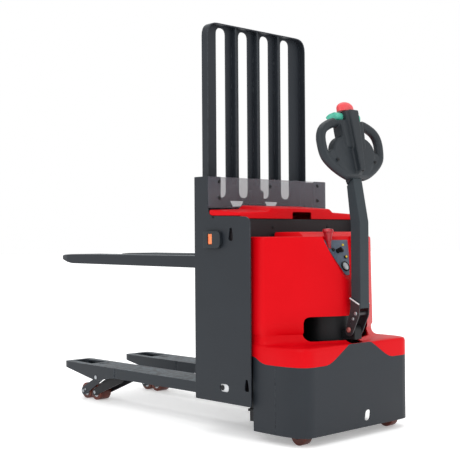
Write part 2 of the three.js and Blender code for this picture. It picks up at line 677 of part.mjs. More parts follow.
function driveCover() {
  const low = skirt.seam - 40;
  const band = (inset, front, top) => slabZ(skirtPlan(inset, front), low, top);
  const edge = cover.shelfRound;
  const rounded = (inset, front) => join(band(inset, front, cover.shelf - inset - edge),
    slabZ(skirtPlan(inset + edge * 0.3, front), low, cover.shelf - inset - edge * 0.35),
    slabZ(skirtPlan(inset + edge, front), low, cover.shelf - inset));
  const tower = (inset, front) => slabZ(towerPlan(inset, front), low, 900).intersect(towerTop(inset,
    front));
  const outside = join(rounded(0, cover.front), tower(0, cover.front));
  const pocket = solid(consoleCut(consolePocket.rim));
  const inside = cut(join(rounded(cover.wall, cover.front - 30), tower(cover.wall, cover.front - 30)),
    solid(consoleCut(consolePocket.rim + consolePocket.backing).translate(-consolePocket.backing, 0, 0)));
  const slot = slabX(outline([
    [-cover.slotHalf, cover.slotBottom, cover.slotRound], [cover.slotHalf, cover.slotBottom,
      cover.slotRound],
    [cover.slotHalf, cover.slotTop, cover.slotRound], [-cover.slotHalf, cover.slotTop, cover.slotRound],
  ], 4), steer.x + 20, 700);
  const well = block(steer.x + cover.noseRadius - 6, skirt.rear - skirt.sheet - 2, -42, 42, 300,
    cover.slotBottom);
  return cut(outside.intersect(aboveSeam(gap)), inside, pocket, slot, well);
}

function consolePanel() {
  const { halfTop: top, halfBottom: bottom } = consolePocket;
  const plate = solid(onSlope((length) => outline([
    [-top, 0], [-top, -6, 10], [-top * 0.72, -length * 0.4, 30], [-bottom, -length + 8, 8],
    [bottom, -length + 8, 8], [top * 0.72, -length * 0.4, 30], [top, -6, 10], [top, 0],
  ], 3), consolePocket.plate).translate(gap, 0, gap / 2));
  return cut(plate, block(0, 900, -200, 200, consolePocket.topZ - 6, 1200));
}

function onConsole(y, down) {
  const run = consolePocket.bottomX - consolePocket.topX;
  const rise = consolePocket.topZ - consolePocket.bottomZ;
  const length = Math.hypot(run, rise);
  const normal = new THREE.Vector3(rise / length, 0, run / length);
  const point = new THREE.Vector3(consolePocket.topX + run * down, y, consolePocket.topZ - rise * down);
  return { point, normal };
}

function consoleKnob(y, down, radius, depth, sides, lift = 0) {
  const { point, normal } = onConsole(y, down);
  const geometry = new THREE.CylinderGeometry(radius, radius * 1.04, depth, sides);
  geometry.applyQuaternion(new THREE.Quaternion().setFromUnitVectors(new THREE.Vector3(0, 1, 0), normal));
  const out = consolePocket.plate + gap + 0.6 + lift + depth / 2;
  geometry.translate(point.x + normal.x * out, y, point.z + normal.z * out);
  return solid(geometry);
}

function ignitionKey() {
  const bow = new THREE.BoxGeometry(5, 22, 20);
  bow.translate(0, 22, 0);
  const { point, normal } = onConsole(-14, 0.34);
  bow.applyQuaternion(new THREE.Quaternion().setFromUnitVectors(new THREE.Vector3(0, 1, 0), normal));
  bow.translate(point.x, point.y, point.z);
  return join(consoleKnob(-14, 0.34, 10, 9, 16), solid(bow));
}

function chassisFrame() {
  const inset = skirt.sheet + gap;
  const plate = cut(slabZ(skirtPlan(inset, chassis.postFront), chassis.plateBottom,
    chassis.plateBottom + chassis.plate),
    bar("z", chassis.wellRadius, 60, [steer.x, 0, chassis.plateBottom], 32));
  const outer = chassis.postOuter;
  const post = block(chassis.postFront, chassis.postRear, -outer, -outer + chassis.postWidth,
    chassis.postBottom, chassis.postTop);
  const tie = block(chassis.postFront, chassis.postFront + 12, -outer + 4, outer - 4,
    chassis.postTop - 30, chassis.postTop);
  return join(plate, post, mirrored(post), tie);
}

function pumpUnit() {
  const bottom = chassis.plateBottom + chassis.plate + gap;
  const motor = bar("z", 50, 110, [480, -225, bottom + 55], 20);
  const tank = block(400, 560, -290, -190, bottom + 100, bottom + 180);
  return join(motor, tank);
}

function initialCylinder() {
  const bottom = chassis.plateBottom + chassis.plate + gap;
  const whole = bar("z", lifter.barrel, lifter.barrelTop - bottom, [lifter.x + 14, lifter.y,
    (lifter.barrelTop + bottom) / 2], 20);
  return cut(whole, bar("z", lifter.rod + 1, lifter.barrelTop, [lifter.x + 14, lifter.y,
    bottom + 14 + lifter.barrelTop / 2], 20));
}

function initialRam() {
  const bottom = lifter.barrelTop - 130;
  const rod = bar("z", lifter.rod, lifter.top - bottom, [lifter.x + 14, lifter.y,
    (lifter.top + bottom) / 2], 16);
  return join(rod, block(battery.rear + gap, lifter.x + 32, lifter.y - 22, lifter.y + 22,
    lifter.top - 20, lifter.top));
}

place("chassis_frame", chassisFrame(), blackSteel);
place("rear_skirt", rearSkirt(), paint);
place("drive_cover", driveCover(), redPlastic);
place("console_panel", consolePanel(), finish(0x69788a, 0.5, 0.1));
place("battery_gauge", consoleKnob(0, 0.74, 17, 6, 24), finish(0xb9bdc2, 0.3, 0.6));
place("ignition_key", ignitionKey(), blackSteel);
place("pump_unit", pumpUnit(), blackSteel);
place("initial_cylinder", initialCylinder(), blackSteel);
place("initial_ram", initialRam(), steel);

// Everything behind the console's face, as a block to trim an upright stem with.
function behindConsole() {
  const { point, normal } = onConsole(0, 0);
  const out = consolePocket.plate + 1.2;
  const corner = (along, back) => [
    point.x + normal.x * (out - back) + normal.z * along,
      point.z + normal.z * (out - back) - normal.x * along,
  ];
  return slabY(outline([corner(-120, 0), corner(-120, 90), corner(160, 90), corner(160, 0)]), -200, 200);
}

function stopButtonBody() {
  const stem = cut(bar("z", stopButton.stem, stopButton.capBottom - stopButton.bottom + 1,
    [stopButton.x, stopButton.y, (stopButton.capBottom + stopButton.bottom) / 2], 16), behindConsole());
  const profile = [[0, stopButton.capBottom], [stopButton.cap - 3, stopButton.capBottom],
    [stopButton.cap, stopButton.capBottom + 5],
    [stopButton.cap - 3, stopButton.capTop - 3], [0, stopButton.capTop]].map(([r,
      z]) => new THREE.Vector2(r, z));
  const cap = new THREE.LatheGeometry(profile, 20);
  cap.rotateX(Math.PI / 2);
  cap.translate(stopButton.x, stopButton.y, 0);
  return join(stem, solid(cap));
}

place("stop_button", stopButtonBody(), redPlastic);

// ---------------------------------------------------------------- casters
function casterFork(side) {
  const z = caster.radius;
  const half = caster.width / 2 + 1.5;
  const y = side * caster.y;
  const top = chassis.plateBottom - gap;
  const cheek = (s) => slabY(outline([
    [caster.x + caster.offset - 12, z - 14, 10], [caster.x + caster.offset + 12, z - 14, 10],
    [caster.x + 26, top - 16, 4], [caster.x - 26, top - 16, 4],
  ], 3), y + s * (half + caster.fork / 2) - caster.fork / 2,
    y + s * (half + caster.fork / 2) + caster.fork / 2);
  const crown = block(caster.x - 30, caster.x + 30, y - half - caster.fork, y + half + caster.fork,
    top - 18, top - 12);
  const stem = bar("z", 22, 13, [caster.x, y, top - 6.5], 18);
  const axle = bar("y", 6, 2 * half + 2, [caster.x + caster.offset, y, z], 12);
  return join(cheek(-1), cheek(1), crown, stem, axle);
}

for (const [name, side] of sides) {
  place(`caster_fork_${name}`, casterFork(side), blackSteel);
  place(`caster_wheel_${name}`, tube("y", caster.radius, 6.6, caster.width,
    [caster.x + caster.offset, side * caster.y, caster.radius], 28), urethane);
}

// ---------------------------------------------------------------- steered drive unit
function driveUnit() {
  const r = steer.wheelRadius;
  const disc = bar("z", drumRadius, steer.drumTop - steer.drumBottom, [steer.x, 0,
    (steer.drumTop + steer.drumBottom) / 2], 32);
  const motor = bar("z", steer.motorRadius, steer.motorTop - steer.drumTop + 1, [steer.x, 0,
    (steer.motorTop + steer.drumTop) / 2], 24);
  const column = bar("z", 78, steer.drumBottom - 2 * r - 10, [steer.x, 0,
    (steer.drumBottom + 2 * r + 12) / 2], 24);
  const side = steer.wheelWidth / 2 + 4;
  const gearbox = slabY(outline([[steer.x - 62, r - 40, 40], [steer.x + 62, r - 40, 40], [steer.x + 70,
    2 * r + 60],
    [steer.x - 70, 2 * r + 60]], 5), side, side + 46);
  const axle = bar("y", steer.axleRadius, steer.wheelWidth + 10, [steer.x, 4, r], 16);
  return join(disc, motor, column, gearbox, axle);
}

function driveWheel() {
  return tube("y", steer.wheelRadius, steer.axleRadius + 0.6, steer.wheelWidth, [steer.x, 0,
    steer.wheelRadius], 36);
}

function tillerBase() {
  const z0 = cover.slotBottom + 2;
  const shape = outline([
    [steer.x + drumRadius + gap, z0], [tiller.pivotX + 22, z0, 4], [tiller.pivotX + 20,
      tiller.pivotZ + 4, 6],
    [tiller.pivotX + 10, tiller.pivotZ + 20, 8], [tiller.pivotX - 10, tiller.pivotZ + 20, 8],
    [tiller.pivotX - 22, tiller.pivotZ - 8, 6], [steer.x + drumRadius + gap, tiller.pivotZ - 8],
  ], 2);
  const half = tiller.armHalf - 6;
  const pin = bar("y", tiller.pinRadius, 2 * (tiller.armHalf + tiller.cheek + gap) + 1, [tiller.pivotX,
    0, tiller.pivotZ], 16);
  const yoke = cut(slabY(shape, -half, half), bar("z", drumRadius + gap, 300, [steer.x, 0, 450], 32));
  const footPin = bar("y", spring.pin, spring.y + 6 - half + 1, [spring.footX,
    (spring.y + 6 + half - 1) / 2, spring.footZ], 12);
  return join(yoke, pin, footPin);
}

place("drive_unit", driveUnit(), blackSteel);
place("drive_wheel", driveWheel(), finish(0x2a2622, 0.8, 0));
place("tiller_base", tillerBase(), blackSteel);

// ---------------------------------------------------------------- tiller
function tillerArm() {
  const profile = (inset) => outline([
    [tiller.armFront + inset, tiller.armBottom - (inset ? 20 : 0)], [tiller.armRear - inset,
      tiller.armBottom - (inset ? 20 : 0)],
    [tiller.armRear - inset, tiller.bend - inset * 0.2], [tiller.neckRear - inset,
      tiller.neckRearZ - inset * 2],
    [tiller.neckFront + inset, tiller.neckFrontZ - inset * 0.5], [tiller.armFront + inset,
      tiller.bend - 14],
  ]);
  const half = tiller.armHalf;
  return cut(slabY(profile(0), -half, half), slabY(profile(tiller.wall), -half + tiller.wall,
    half - tiller.wall));
}

function tillerBracket() {
  const r = tiller.cheekRadius;
  const { pivotX: x, pivotZ: z } = tiller;
  const face = outline([
    [x - r, z - 4, 12], [x - r * 0.6, z - r, 14], [x + r * 0.5, z - r, 14], [x + r + 8, z + 20, 12],
    [tiller.armRear - 4, z + 62, 10], [tiller.armRear - 2, tiller.armBottom + 18],
    [tiller.armFront - 6, tiller.armBottom + 45, 3], [x - 2, z + 80, 16],
  ], 3);
  const inner = tiller.armHalf + gap;
  const cheek = cut(slabY(face, inner, inner + tiller.cheek),
    bar("y", tiller.pinRadius + 0.6, 200, [x, 0, z], 16));
  const spacer = bar("y", 9, 2 * inner + 4, [tiller.armRear - 22, 0, tiller.armBottom - 22], 14);
  return join(cheek, mirrored(cheek), spacer);
}

// The head is drawn upright about its neck, then leaned towards the forks.
function leaned(geometry) {
  geometry.rotateY(-THREE.MathUtils.degToRad(head.tilt));
  geometry.translate(head.x, 0, head.z);
  return solid(geometry);
}

function uprightSlab(shape, x0, x1, options = {}) {
  const geometry = extrude(shape, x1 - x0, options);
  geometry.applyMatrix4(new THREE.Matrix4().makeBasis(
    new THREE.Vector3(0, 1, 0), new THREE.Vector3(0, 0, 1), new THREE.Vector3(1, 0, 0)));
  geometry.translate(x0, 0, 0);
  return geometry;
}

function grip(side) {
  const g = head.gripHalf;
  const route = new THREE.CatmullRomCurve3([
    [30, 225], [80, 226], [130, 212], [170, 188], [g - 1, 158], [g, 116], [g - 10, 75], [g - 44, 42],
    [g - 100, 10], [45, -6],
  ].map(([y, z]) => new THREE.Vector3(0, side * y, z)));
  const ring = new THREE.Shape();
  ring.absarc(0, 0, head.gripRadius, 0, Math.PI * 2, false);
  return leaned(new THREE.ExtrudeGeometry(ring, { steps: 30, extrudePath: route, curveSegments: 5,
    bevelEnabled: false }));
}

function tillerHead() {
  const t = head.thickness / 2;
  const bevel = { bevelEnabled: true, bevelThickness: 9, bevelSize: 9, bevelSegments: 2 };
  const disc = uprightSlab(outline([
    [-24, -16], [24, -16], [76, 16, 30], [124, 74, 30], [126, 120, 34], [84, 158, 40], [-84, 158, 40],
    [-126, 120, 34], [-124, 74, 30], [-76, 16, 30],
  ], 4), -t + 9, t - 9, bevel);
  const neck = uprightSlab(outline([[-58, 120, 8], [58, 120, 8], [66, 200, 30], [60,
    head.capBottom - 12, 8], [-60, head.capBottom - 12, 8],
    [-66, 200, 30]], 3), -t + 4, t + 2, { ...bevel, bevelThickness: 8, bevelSize: 8 });
  const ridge = uprightSlab(outline([[-14, 0, 4], [14, 0, 4], [30, head.capBottom - 2, 6], [-30,
    head.capBottom - 2, 6]], 3), 0, t + 22,
    { ...bevel, bevelThickness: 5, bevelSize: 0, bevelOffset: 0 });
  const socket = uprightSlab(outline([[-tiller.armHalf - 3, -60], [tiller.armHalf + 3, -60],
    [tiller.armHalf + 12, 10], [-tiller.armHalf - 12, 10]]),
    -t - 6, t - 8);
  const armAbove = slabY(outline([
    [tiller.neckFront - 60, tiller.neckFrontZ - 58 + gap * 2], [tiller.neckRear + 60,
      tiller.neckRearZ + 58 + gap * 2],
    [tiller.neckRear + 60, 1700], [tiller.neckFront - 160, 1700],
  ]), -300, 300);
  const bay = (s) => onSide(s, leaned(uprightSlab(outline([
    [-head.throttleHalf - 14, head.throttleAt - throttleBay.below], [-36,
      head.throttleAt - throttleBay.below],
    [-36, head.throttleAt + throttleBay.above], [-head.throttleHalf - 14,
      head.throttleAt + throttleBay.above],
  ]), -80, 80)));
  const faceButtons = [-24, 24].map((y) => leaned(uprightSlab(outline([
    [y - 13, 196, 4], [y + 13, 196, 4], [y + 13, 226, 4], [y - 13, 226, 4]], 2), -t - 60, -t + 6)));
  const whole = join(leaned(disc), leaned(neck), leaned(ridge), leaned(socket), grip(-1),
    grip(1)).intersect(armAbove);
  return cut(whole, bay(-1), bay(1), ...faceButtons,
    leaned(uprightSlab(outline([[-100, head.capBottom], [100, head.capBottom], [100, 400], [-100,
      400]]), -90, 90)));
}

function bellyButton() {
  const half = head.capHalf;
  const dome = uprightSlab(outline([
    [-half, head.capBottom + gap, 3], [half, head.capBottom + gap, 3], [half - 4, head.capBottom + 22, 16],
    [half - 22, head.capTop, 18], [-half + 22, head.capTop, 18], [-half + 4, head.capBottom + 22, 16],
  ], 4), -26, 26);
  return leaned(dome);
}

function throttle() {
  const inner = 37;
  const wing = (s) => {
    const y0 = s < 0 ? -head.throttleHalf : inner;
    const y1 = s < 0 ? -inner : head.throttleHalf;
    const blade = extrude(outline([
      [-50, head.throttleAt + 4, 8], [-40, head.throttleAt - 8, 6], [-20, head.throttleAt - 20, 10],
      [10, head.throttleAt - 21, 8], [15, head.throttleAt, 8], [8, head.throttleAt + 14, 8],
      [-30, head.throttleAt + 13, 8],
    ], 3), y1 - y0);
    blade.rotateX(Math.PI / 2);
    blade.translate(0, y1, 0);
    return leaned(blade);
  };
  const shaft = new THREE.CylinderGeometry(5, 5, 2 * inner + 6, 12);
  shaft.translate(0, 0, head.throttleAt);
  return join(wing(-1), wing(1), leaned(shaft));
}

function faceButton(y) {
  const t = head.thickness / 2;
  return leaned(uprightSlab(outline([
    [y - 12, 197, 4], [y + 12, 197, 4], [y + 12, 225, 4], [y - 12, 225, 4]], 2), -t - 9, -t + 2));
}

const shaftClearance = () => {
  const hole = new THREE.CylinderGeometry(5.6, 5.6, 90, 12);
  hole.translate(0, 0, head.throttleAt);
  return leaned(hole);
};

place("tiller_arm", tillerArm(), darkPlastic);
place("tiller_bracket", tillerBracket(), finish(0x2a2228, 0.5, 0.3));
place("tiller_head", cut(tillerHead(), shaftClearance()), darkPlastic);
place("belly_button", bellyButton(), finish(0xeb5f64, 0.4, 0));
place("throttle", throttle(), finish(0x5abea5, 0.4, 0));
place("lift_button", faceButton(-24), finish(0xd8d8d8, 0.5, 0));
place("lower_button", faceButton(24), finish(0x3a3a3a, 0.5, 0));

// ---------------------------------------------------------------- gas spring beside the tiller pivot
// Drawn upright from the foot pin, then leaned to point at the top pin.
function alongSpring(...pieces) {
  const lean = Math.atan2(spring.topX - spring.footX, spring.topZ - spring.footZ);
  return join(...pieces).rotate([0, THREE.MathUtils.radToDeg(lean), 0]).translate([spring.footX,
    spring.y, spring.footZ]);
}

const springLength = Math.hypot(spring.topX - spring.footX, spring.topZ - spring.footZ);
const springEye = (z, bore) => tube("y", spring.barrel + 0.5, bore, 11, [0, 0, z], 16);

function springBarrel() {
  const sleeve = bar("z", spring.barrel, spring.barrelEnd, [0, 0, spring.barrelEnd / 2], 16);
  const bore = bar("z", spring.rod + 0.8, spring.barrelEnd, [0, 0, 16 + spring.barrelEnd / 2], 16);
  const pinHole = bar("y", spring.pin + 0.6, 30, [0, 0, 0], 14);
  return alongSpring(cut(join(sleeve, springEye(0, spring.pin + 0.6)), bore, pinHole));
}

function springRod() {
  const z0 = spring.barrelEnd - 38;
  return alongSpring(bar("z", spring.rod, springLength - z0 - 5, [0, 0, (springLength + z0 - 5) / 2], 14),
    springEye(springLength, spring.pin));
}

place("gas_spring_barrel", springBarrel(), blackSteel);
place("gas_spring_rod", springRod(), steel);

// ---------------------------------------------------------------- origin at the middle of the footprint
machine.position.x = (Math.max(leg.length, fork.length) - tiller.armRear) / 2;

export default machine;
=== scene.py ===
import math

import bmesh
import bpy
from mathutils import Matrix, Vector


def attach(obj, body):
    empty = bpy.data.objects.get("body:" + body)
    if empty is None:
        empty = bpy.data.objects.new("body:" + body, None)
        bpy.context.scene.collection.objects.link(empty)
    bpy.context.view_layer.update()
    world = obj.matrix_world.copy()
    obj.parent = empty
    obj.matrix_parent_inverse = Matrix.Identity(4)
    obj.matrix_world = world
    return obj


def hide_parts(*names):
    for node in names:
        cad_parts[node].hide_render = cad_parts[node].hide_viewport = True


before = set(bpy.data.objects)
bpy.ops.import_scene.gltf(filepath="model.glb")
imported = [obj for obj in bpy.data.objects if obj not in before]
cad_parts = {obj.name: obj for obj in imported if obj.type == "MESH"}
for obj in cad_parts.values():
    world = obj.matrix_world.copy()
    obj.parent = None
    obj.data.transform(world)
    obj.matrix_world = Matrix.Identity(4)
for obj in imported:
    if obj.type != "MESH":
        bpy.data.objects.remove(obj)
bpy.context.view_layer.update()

scene = bpy.context.scene
scene.view_settings.view_transform = "Standard"

# measures below are in millimetres from the fork-side edge of the side panels
frontEdge = 311


def at(x, y, z):
    return Vector(((x + frontEdge) / 1000, y / 1000, z / 1000))


def tone(r, g, b, alpha=1.0):
    # a screen colour, 0 to 255, as a linear one
    def linear(c):
        c = c / 255
        return c / 12.92 if c <= 0.04045 else ((c + 0.055) / 1.055) ** 2.4
    return (linear(r), linear(g), linear(b), alpha)


# camera
camera = bpy.data.objects.new("camera", bpy.data.cameras.new("camera"))
scene.collection.objects.link(camera)
camera.data.sensor_width = 36
camera.data.lens = 75.37
camera.data.shift_y = 0.007
camera.data.clip_end = 100
camera.location = (3.5092, -3.1801, 0.8466)
camera.rotation_euler = [math.radians(a) for a in (90.2452, 0.3939, 46.7582)]
scene.camera = camera
print("camera set")

# materials, shared effects first

def newGroup(name, inputs, outputs):
    group = bpy.data.node_groups.new(name, "ShaderNodeTree")
    for label, kind, value in inputs:
        socket = group.interface.new_socket(label, in_out="INPUT", socket_type=kind)
        if value is not None:
            socket.default_value = value
    for label, kind in outputs:
        group.interface.new_socket(label, in_out="OUTPUT", socket_type=kind)
    return group, group.nodes.new("NodeGroupInput"), group.nodes.new("NodeGroupOutput")


def noiseNode(tree, vector, scale, detail=3.0, rough=0.55):
    node = tree.nodes.new("ShaderNodeTexNoise")
    node.inputs["Detail"].default_value = detail
    node.inputs["Roughness"].default_value = rough
    tree.links.new(vector, node.inputs["Vector"])
    if isinstance(scale, (int, float)):
        node.inputs["Scale"].default_value = scale
    else:
        tree.links.new(scale, node.inputs["Scale"])
    return node


def mathNode(tree, operation, *values, clamp=False):
    node = tree.nodes.new("ShaderNodeMath")
    node.operation = operation
    node.use_clamp = clamp
    for i, value in enumerate(values):
        if isinstance(value, (int, float)):
            node.inputs[i].default_value = value
        else:
            tree.links.new(value, node.inputs[i])
    return node.outputs[0]


def spreadNode(tree, value, low, high, toLow=0.0, toHigh=1.0):
    node = tree.nodes.new("ShaderNodeMapRange")
    node.interpolation_type = "SMOOTHSTEP"
    for label, number in (("From Min", low), ("From Max", high), ("To Min", toLow), ("To Max", toHigh)):
        node.inputs[label].default_value = number
    tree.links.new(value, node.inputs["Value"])
    return node.outputs["Result"]


def mixColour(tree, factor, first, second):
    node = tree.nodes.new("ShaderNodeMix")
    node.data_type = "RGBA"
    for value, socket in ((factor, node.inputs[0]), (first, node.inputs[6]), (second, node.inputs[7])):
        if hasattr(value, "links") or hasattr(value, "is_linked"):
            tree.links.new(value, socket)
        else:
            socket.default_value = value
    return node.outputs[2]


# slow drift of colour and gloss over a surface
drift, gin, gout = newGroup("surfaceDrift",
    [("Vector", "NodeSocketVector", None), ("Colour", "NodeSocketColor", None),
     ("Light Colour", "NodeSocketColor", None),
     ("Scale", "NodeSocketFloat", 5.0), ("Roughness", "NodeSocketFloat", 0.5), ("Spread", "NodeSocketFloat",
             0.1)],
    [("Colour", "NodeSocketColor"), ("Roughness", "NodeSocketFloat")])
cloud = noiseNode(drift, gin.outputs["Vector"], gin.outputs["Scale"], 4.0).outputs[0]
cloudMask = spreadNode(drift, cloud, 0.3, 0.7)
drift.links.new(mixColour(drift, cloudMask, gin.outputs["Colour"], gin.outputs["Light Colour"]),
                gout.inputs["Colour"])
centred = mathNode(drift, "SUBTRACT", cloud, 0.5)
drift.links.new(mathNode(drift, "MULTIPLY_ADD", centred, gin.outputs["Spread"], gin.outputs["Roughness"],
                         clamp=True),
                gout.inputs["Roughness"])

# fine grain of powder coat or moulded plastic, as a height
grain, gin, gout = newGroup("fineGrain",
    [("Vector", "NodeSocketVector", None), ("Scale", "NodeSocketFloat", 900.0),
     ("Waviness", "NodeSocketFloat", 0.3)],
    [("Height", "NodeSocketFloat")])
tight = noiseNode(grain, gin.outputs["Vector"], gin.outputs["Scale"], 2.0).outputs[0]
loose = noiseNode(grain, gin.outputs["Vector"], 28.0, 2.0).outputs[0]
grain.links.new(mathNode(grain, "MULTIPLY_ADD", loose, gin.outputs["Waviness"], tight),
                gout.inputs["Height"])

# bare, rubbed edges, where the surface turns sharply
rub, gin, gout = newGroup("edgeRub",
    [("Vector", "NodeSocketVector", None), ("Colour", "NodeSocketColor", None),
     ("Rubbed Colour", "NodeSocketColor", None),
     ("Amount", "NodeSocketFloat", 0.5)],
    [("Colour", "NodeSocketColor"), ("Mask", "NodeSocketFloat")])
rounded = rub.nodes.new("ShaderNodeBevel")
rounded.samples = 4
rounded.inputs["Radius"].default_value = 0.0025
geometry = rub.nodes.new("ShaderNodeNewGeometry")
dot = rub.nodes.new("ShaderNodeVectorMath")
dot.operation = "DOT_PRODUCT"
rub.links.new(rounded.outputs[0], dot.inputs[0])
rub.links.new(geometry.outputs["Normal"], dot.inputs[1])
edge = spreadNode(rub, dot.outputs["Value"], 0.985, 0.90)
patchy = spreadNode(rub, noiseNode(rub, gin.outputs["Vector"], 55.0, 5.0, 0.7).outputs[0], 0.35, 0.6)
worn = mathNode(rub, "MULTIPLY", mathNode(rub, "MULTIPLY", edge, patchy), gin.outputs["Amount"], clamp=True)
rub.links.new(mixColour(rub, worn, gin.outputs["Colour"], gin.outputs["Rubbed Colour"]),
              gout.inputs["Colour"])
rub.links.new(worn, gout.inputs["Mask"])

# faces that look up take a lighter tone: a little dust, and on the dark paints a painted sheen of the light
# from above
dustAndSheen, gin, gout = newGroup("settledDustAndSheen",
    [("Vector", "NodeSocketVector", None), ("Colour", "NodeSocketColor", None),
     ("Dust Colour", "NodeSocketColor", None),
     ("Amount", "NodeSocketFloat", 0.2)],
    [("Colour", "NodeSocketColor")])
geometry = dustAndSheen.nodes.new("ShaderNodeNewGeometry")
split = dustAndSheen.nodes.new("ShaderNodeSeparateXYZ")
dustAndSheen.links.new(geometry.outputs["Normal"], split.inputs[0])
upward = spreadNode(dustAndSheen, split.outputs["Z"], 0.4, 0.95)
speckle = spreadNode(dustAndSheen, noiseNode(dustAndSheen, gin.outputs["Vector"], 40.0, 6.0, 0.7).outputs[0], 0.35, 0.75)
dustAndSheenMask = mathNode(dustAndSheen, "MULTIPLY", mathNode(dustAndSheen, "MULTIPLY", upward, speckle), gin.outputs["Amount"],
                   clamp=True)
dustAndSheen.links.new(mixColour(dustAndSheen, dustAndSheenMask, gin.outputs["Colour"], gin.outputs["Dust Colour"]),
               gout.inputs["Colour"])


def placeGroup(tree, group, vector, **values):
    node = tree.nodes.new("ShaderNodeGroup")
    node.node_tree = group
    tree.links.new(vector, node.inputs["Vector"])
    for label, value in values.items():
        socket = node.inputs[label.replace("_", " ")]
        if hasattr(value, "is_linked"):
            tree.links.new(value, socket)
        else:
            socket.default_value = value
    return node


def makeFinish(name, colour, light, rough, metal=0.0, spread=0.12, scale=5.0, grainScale=900.0,
               grainDepth=0.06,
               rubbed=None, rubAmount=0.0, dustAndSheenAmount=0.15, dustAndSheenTone=None, coat=0.0, alpha=1.0, specular=0.5):
    material = bpy.data.materials.new(name)
    material.use_nodes = True
    tree = material.node_tree
    shader = tree.nodes["Principled BSDF"]
    place = tree.nodes.new("ShaderNodeTexCoord").outputs["Object"]
    base = placeGroup(tree, drift, place, Colour=colour, Light_Colour=light, Scale=scale, Roughness=rough,
                      Spread=spread)
    shade = base.outputs["Colour"]
    if rubAmount > 0:
        rubbing = placeGroup(tree, rub, place, Colour=shade, Rubbed_Colour=rubbed, Amount=rubAmount)
        shade = rubbing.outputs["Colour"]
    # lighter tone on faces that look up: dust, and painted sheen where the sheen tone is given
    if dustAndSheenAmount > 0:
        shade = placeGroup(tree, dustAndSheen, place, Colour=shade, Dust_Colour=dustAndSheenTone or tone(110, 112, 114),
                           Amount=dustAndSheenAmount).outputs["Colour"]
    tree.links.new(shade, shader.inputs["Base Color"])
    tree.links.new(base.outputs["Roughness"], shader.inputs["Roughness"])
    shader.inputs["Metallic"].default_value = metal
    shader.inputs["Coat Weight"].default_value = coat
    shader.inputs["Coat Roughness"].default_value = 0.15
    shader.inputs["Specular IOR Level"].default_value = specular
    shader.inputs["Alpha"].default_value = alpha
    bump = tree.nodes.new("ShaderNodeBump")
    bump.inputs["Strength"].default_value = grainDepth
    bump.inputs["Distance"].default_value = 0.001
    height = placeGroup(tree, grain, place, Scale=grainScale)
    tree.links.new(height.outputs["Height"], bump.inputs["Height"])
    tree.links.new(bump.outputs["Normal"], shader.inputs["Normal"])
    return material


greyRub = tone(96, 102, 108)
# sheen: a painted sheen, the lighter tone that faces lit from above take, laid with a little dust on
# up-facing faces of darkPaint and deckPaint
sheen = tone(104, 120, 130)
darkPaint = makeFinish("darkPaint", tone(28, 33, 39), tone(32, 37, 43), 0.55, spread=0.2, grainScale=700,
                       grainDepth=0.12,
                       rubbed=greyRub, rubAmount=0.5, dustAndSheenTone=sheen, dustAndSheenAmount=0.5, specular=0.3)
# deckPaint is the same dark paint as darkPaint, with more painted sheen on faces that look up
deckPaint = makeFinish("deckPaint", tone(28, 33, 39), tone(33, 39, 45), 0.5, spread=0.2, grainScale=700,
                       grainDepth=0.12,
                       rubbed=tone(120, 130,
                                   138), rubAmount=0.6, dustAndSheenTone=sheen, dustAndSheenAmount=0.75, specular=0.3)
blackSteel = makeFinish("blackSteel", tone(14, 15, 17), tone(20, 21, 24), 0.5, metal=0.2, grainScale=500,
                        grainDepth=0.15,
                        rubbed=tone(80, 82, 85), rubAmount=0.4, dustAndSheenAmount=0.1, specular=0.3)
brightSteel = makeFinish("brightSteel", tone(140, 144, 148), tone(178, 182, 186), 0.3, metal=0.95,
                         spread=0.3, scale=30,
                         grainScale=1500, grainDepth=0.05, dustAndSheenAmount=0.05)
redCover = makeFinish("redCover", tone(196, 2, 14), tone(202, 5, 18), 0.42, spread=0.1, scale=3,
                      grainScale=1100,
                      grainDepth=0.035, dustAndSheenAmount=0.0, specular=0.08)
darkPlastic = makeFinish("darkPlastic", tone(27, 33, 38), tone(34, 40, 45), 0.5, spread=0.1,
                         grainScale=1600,
                         grainDepth=0.14, dustAndSheenAmount=0.06, specular=0.3)
armPlastic = makeFinish("armPlastic", tone(33, 42, 47), tone(38, 47, 52), 0.55, spread=0.1, grainScale=1600,
                        grainDepth=0.14, dustAndSheenAmount=0.06, specular=0.3)
consolePlastic = makeFinish("consolePlastic", tone(72, 86, 102), tone(82, 96, 112), 0.4, grainScale=1500,
                            grainDepth=0.1,
                            specular=0.3)
tealPlastic = makeFinish("tealPlastic", tone(58, 160, 138), tone(88, 186, 160), 0.42, scale=18,
                         grainScale=1500, grainDepth=0.05)
softRed = makeFinish("softRed", tone(208, 58, 64), tone(216, 74, 78), 0.45, scale=12, grainScale=1500,
                     grainDepth=0.05)
stopRed = makeFinish("stopRed", tone(150, 10, 24), tone(190, 34, 48), 0.35, scale=20, grainScale=1500,
                     grainDepth=0.04)
palePlastic = makeFinish("palePlastic", tone(190, 192, 195), tone(212, 214, 216), 0.4, scale=20)
sunYellow = makeFinish("sunYellow", tone(200, 170, 20), tone(224, 196, 40), 0.4, scale=40)
urethane = makeFinish("urethane", tone(66, 24, 16), tone(96, 38, 26), 0.42, scale=22, grainScale=600,
                      grainDepth=0.1,
                      rubbed=tone(196, 108, 56), rubAmount=0.9, dustAndSheenAmount=0.12, specular=0.35)
treadRubber = makeFinish("treadRubber", tone(20, 17, 16), tone(32, 27, 24), 0.75, scale=16, grainScale=500,
                         grainDepth=0.3,
                         dustAndSheenAmount=0.25)
amberLens = makeFinish("amberLens", tone(226, 96, 30), tone(240, 140, 80), 0.22, scale=45, grainScale=300,
                       grainDepth=0.3,
                       dustAndSheenAmount=0.0, coat=0.5)
copperBolt = makeFinish("copperBolt", tone(140, 76, 72), tone(180, 108, 100), 0.4, metal=0.4, scale=60,
                        dustAndSheenAmount=0.05)
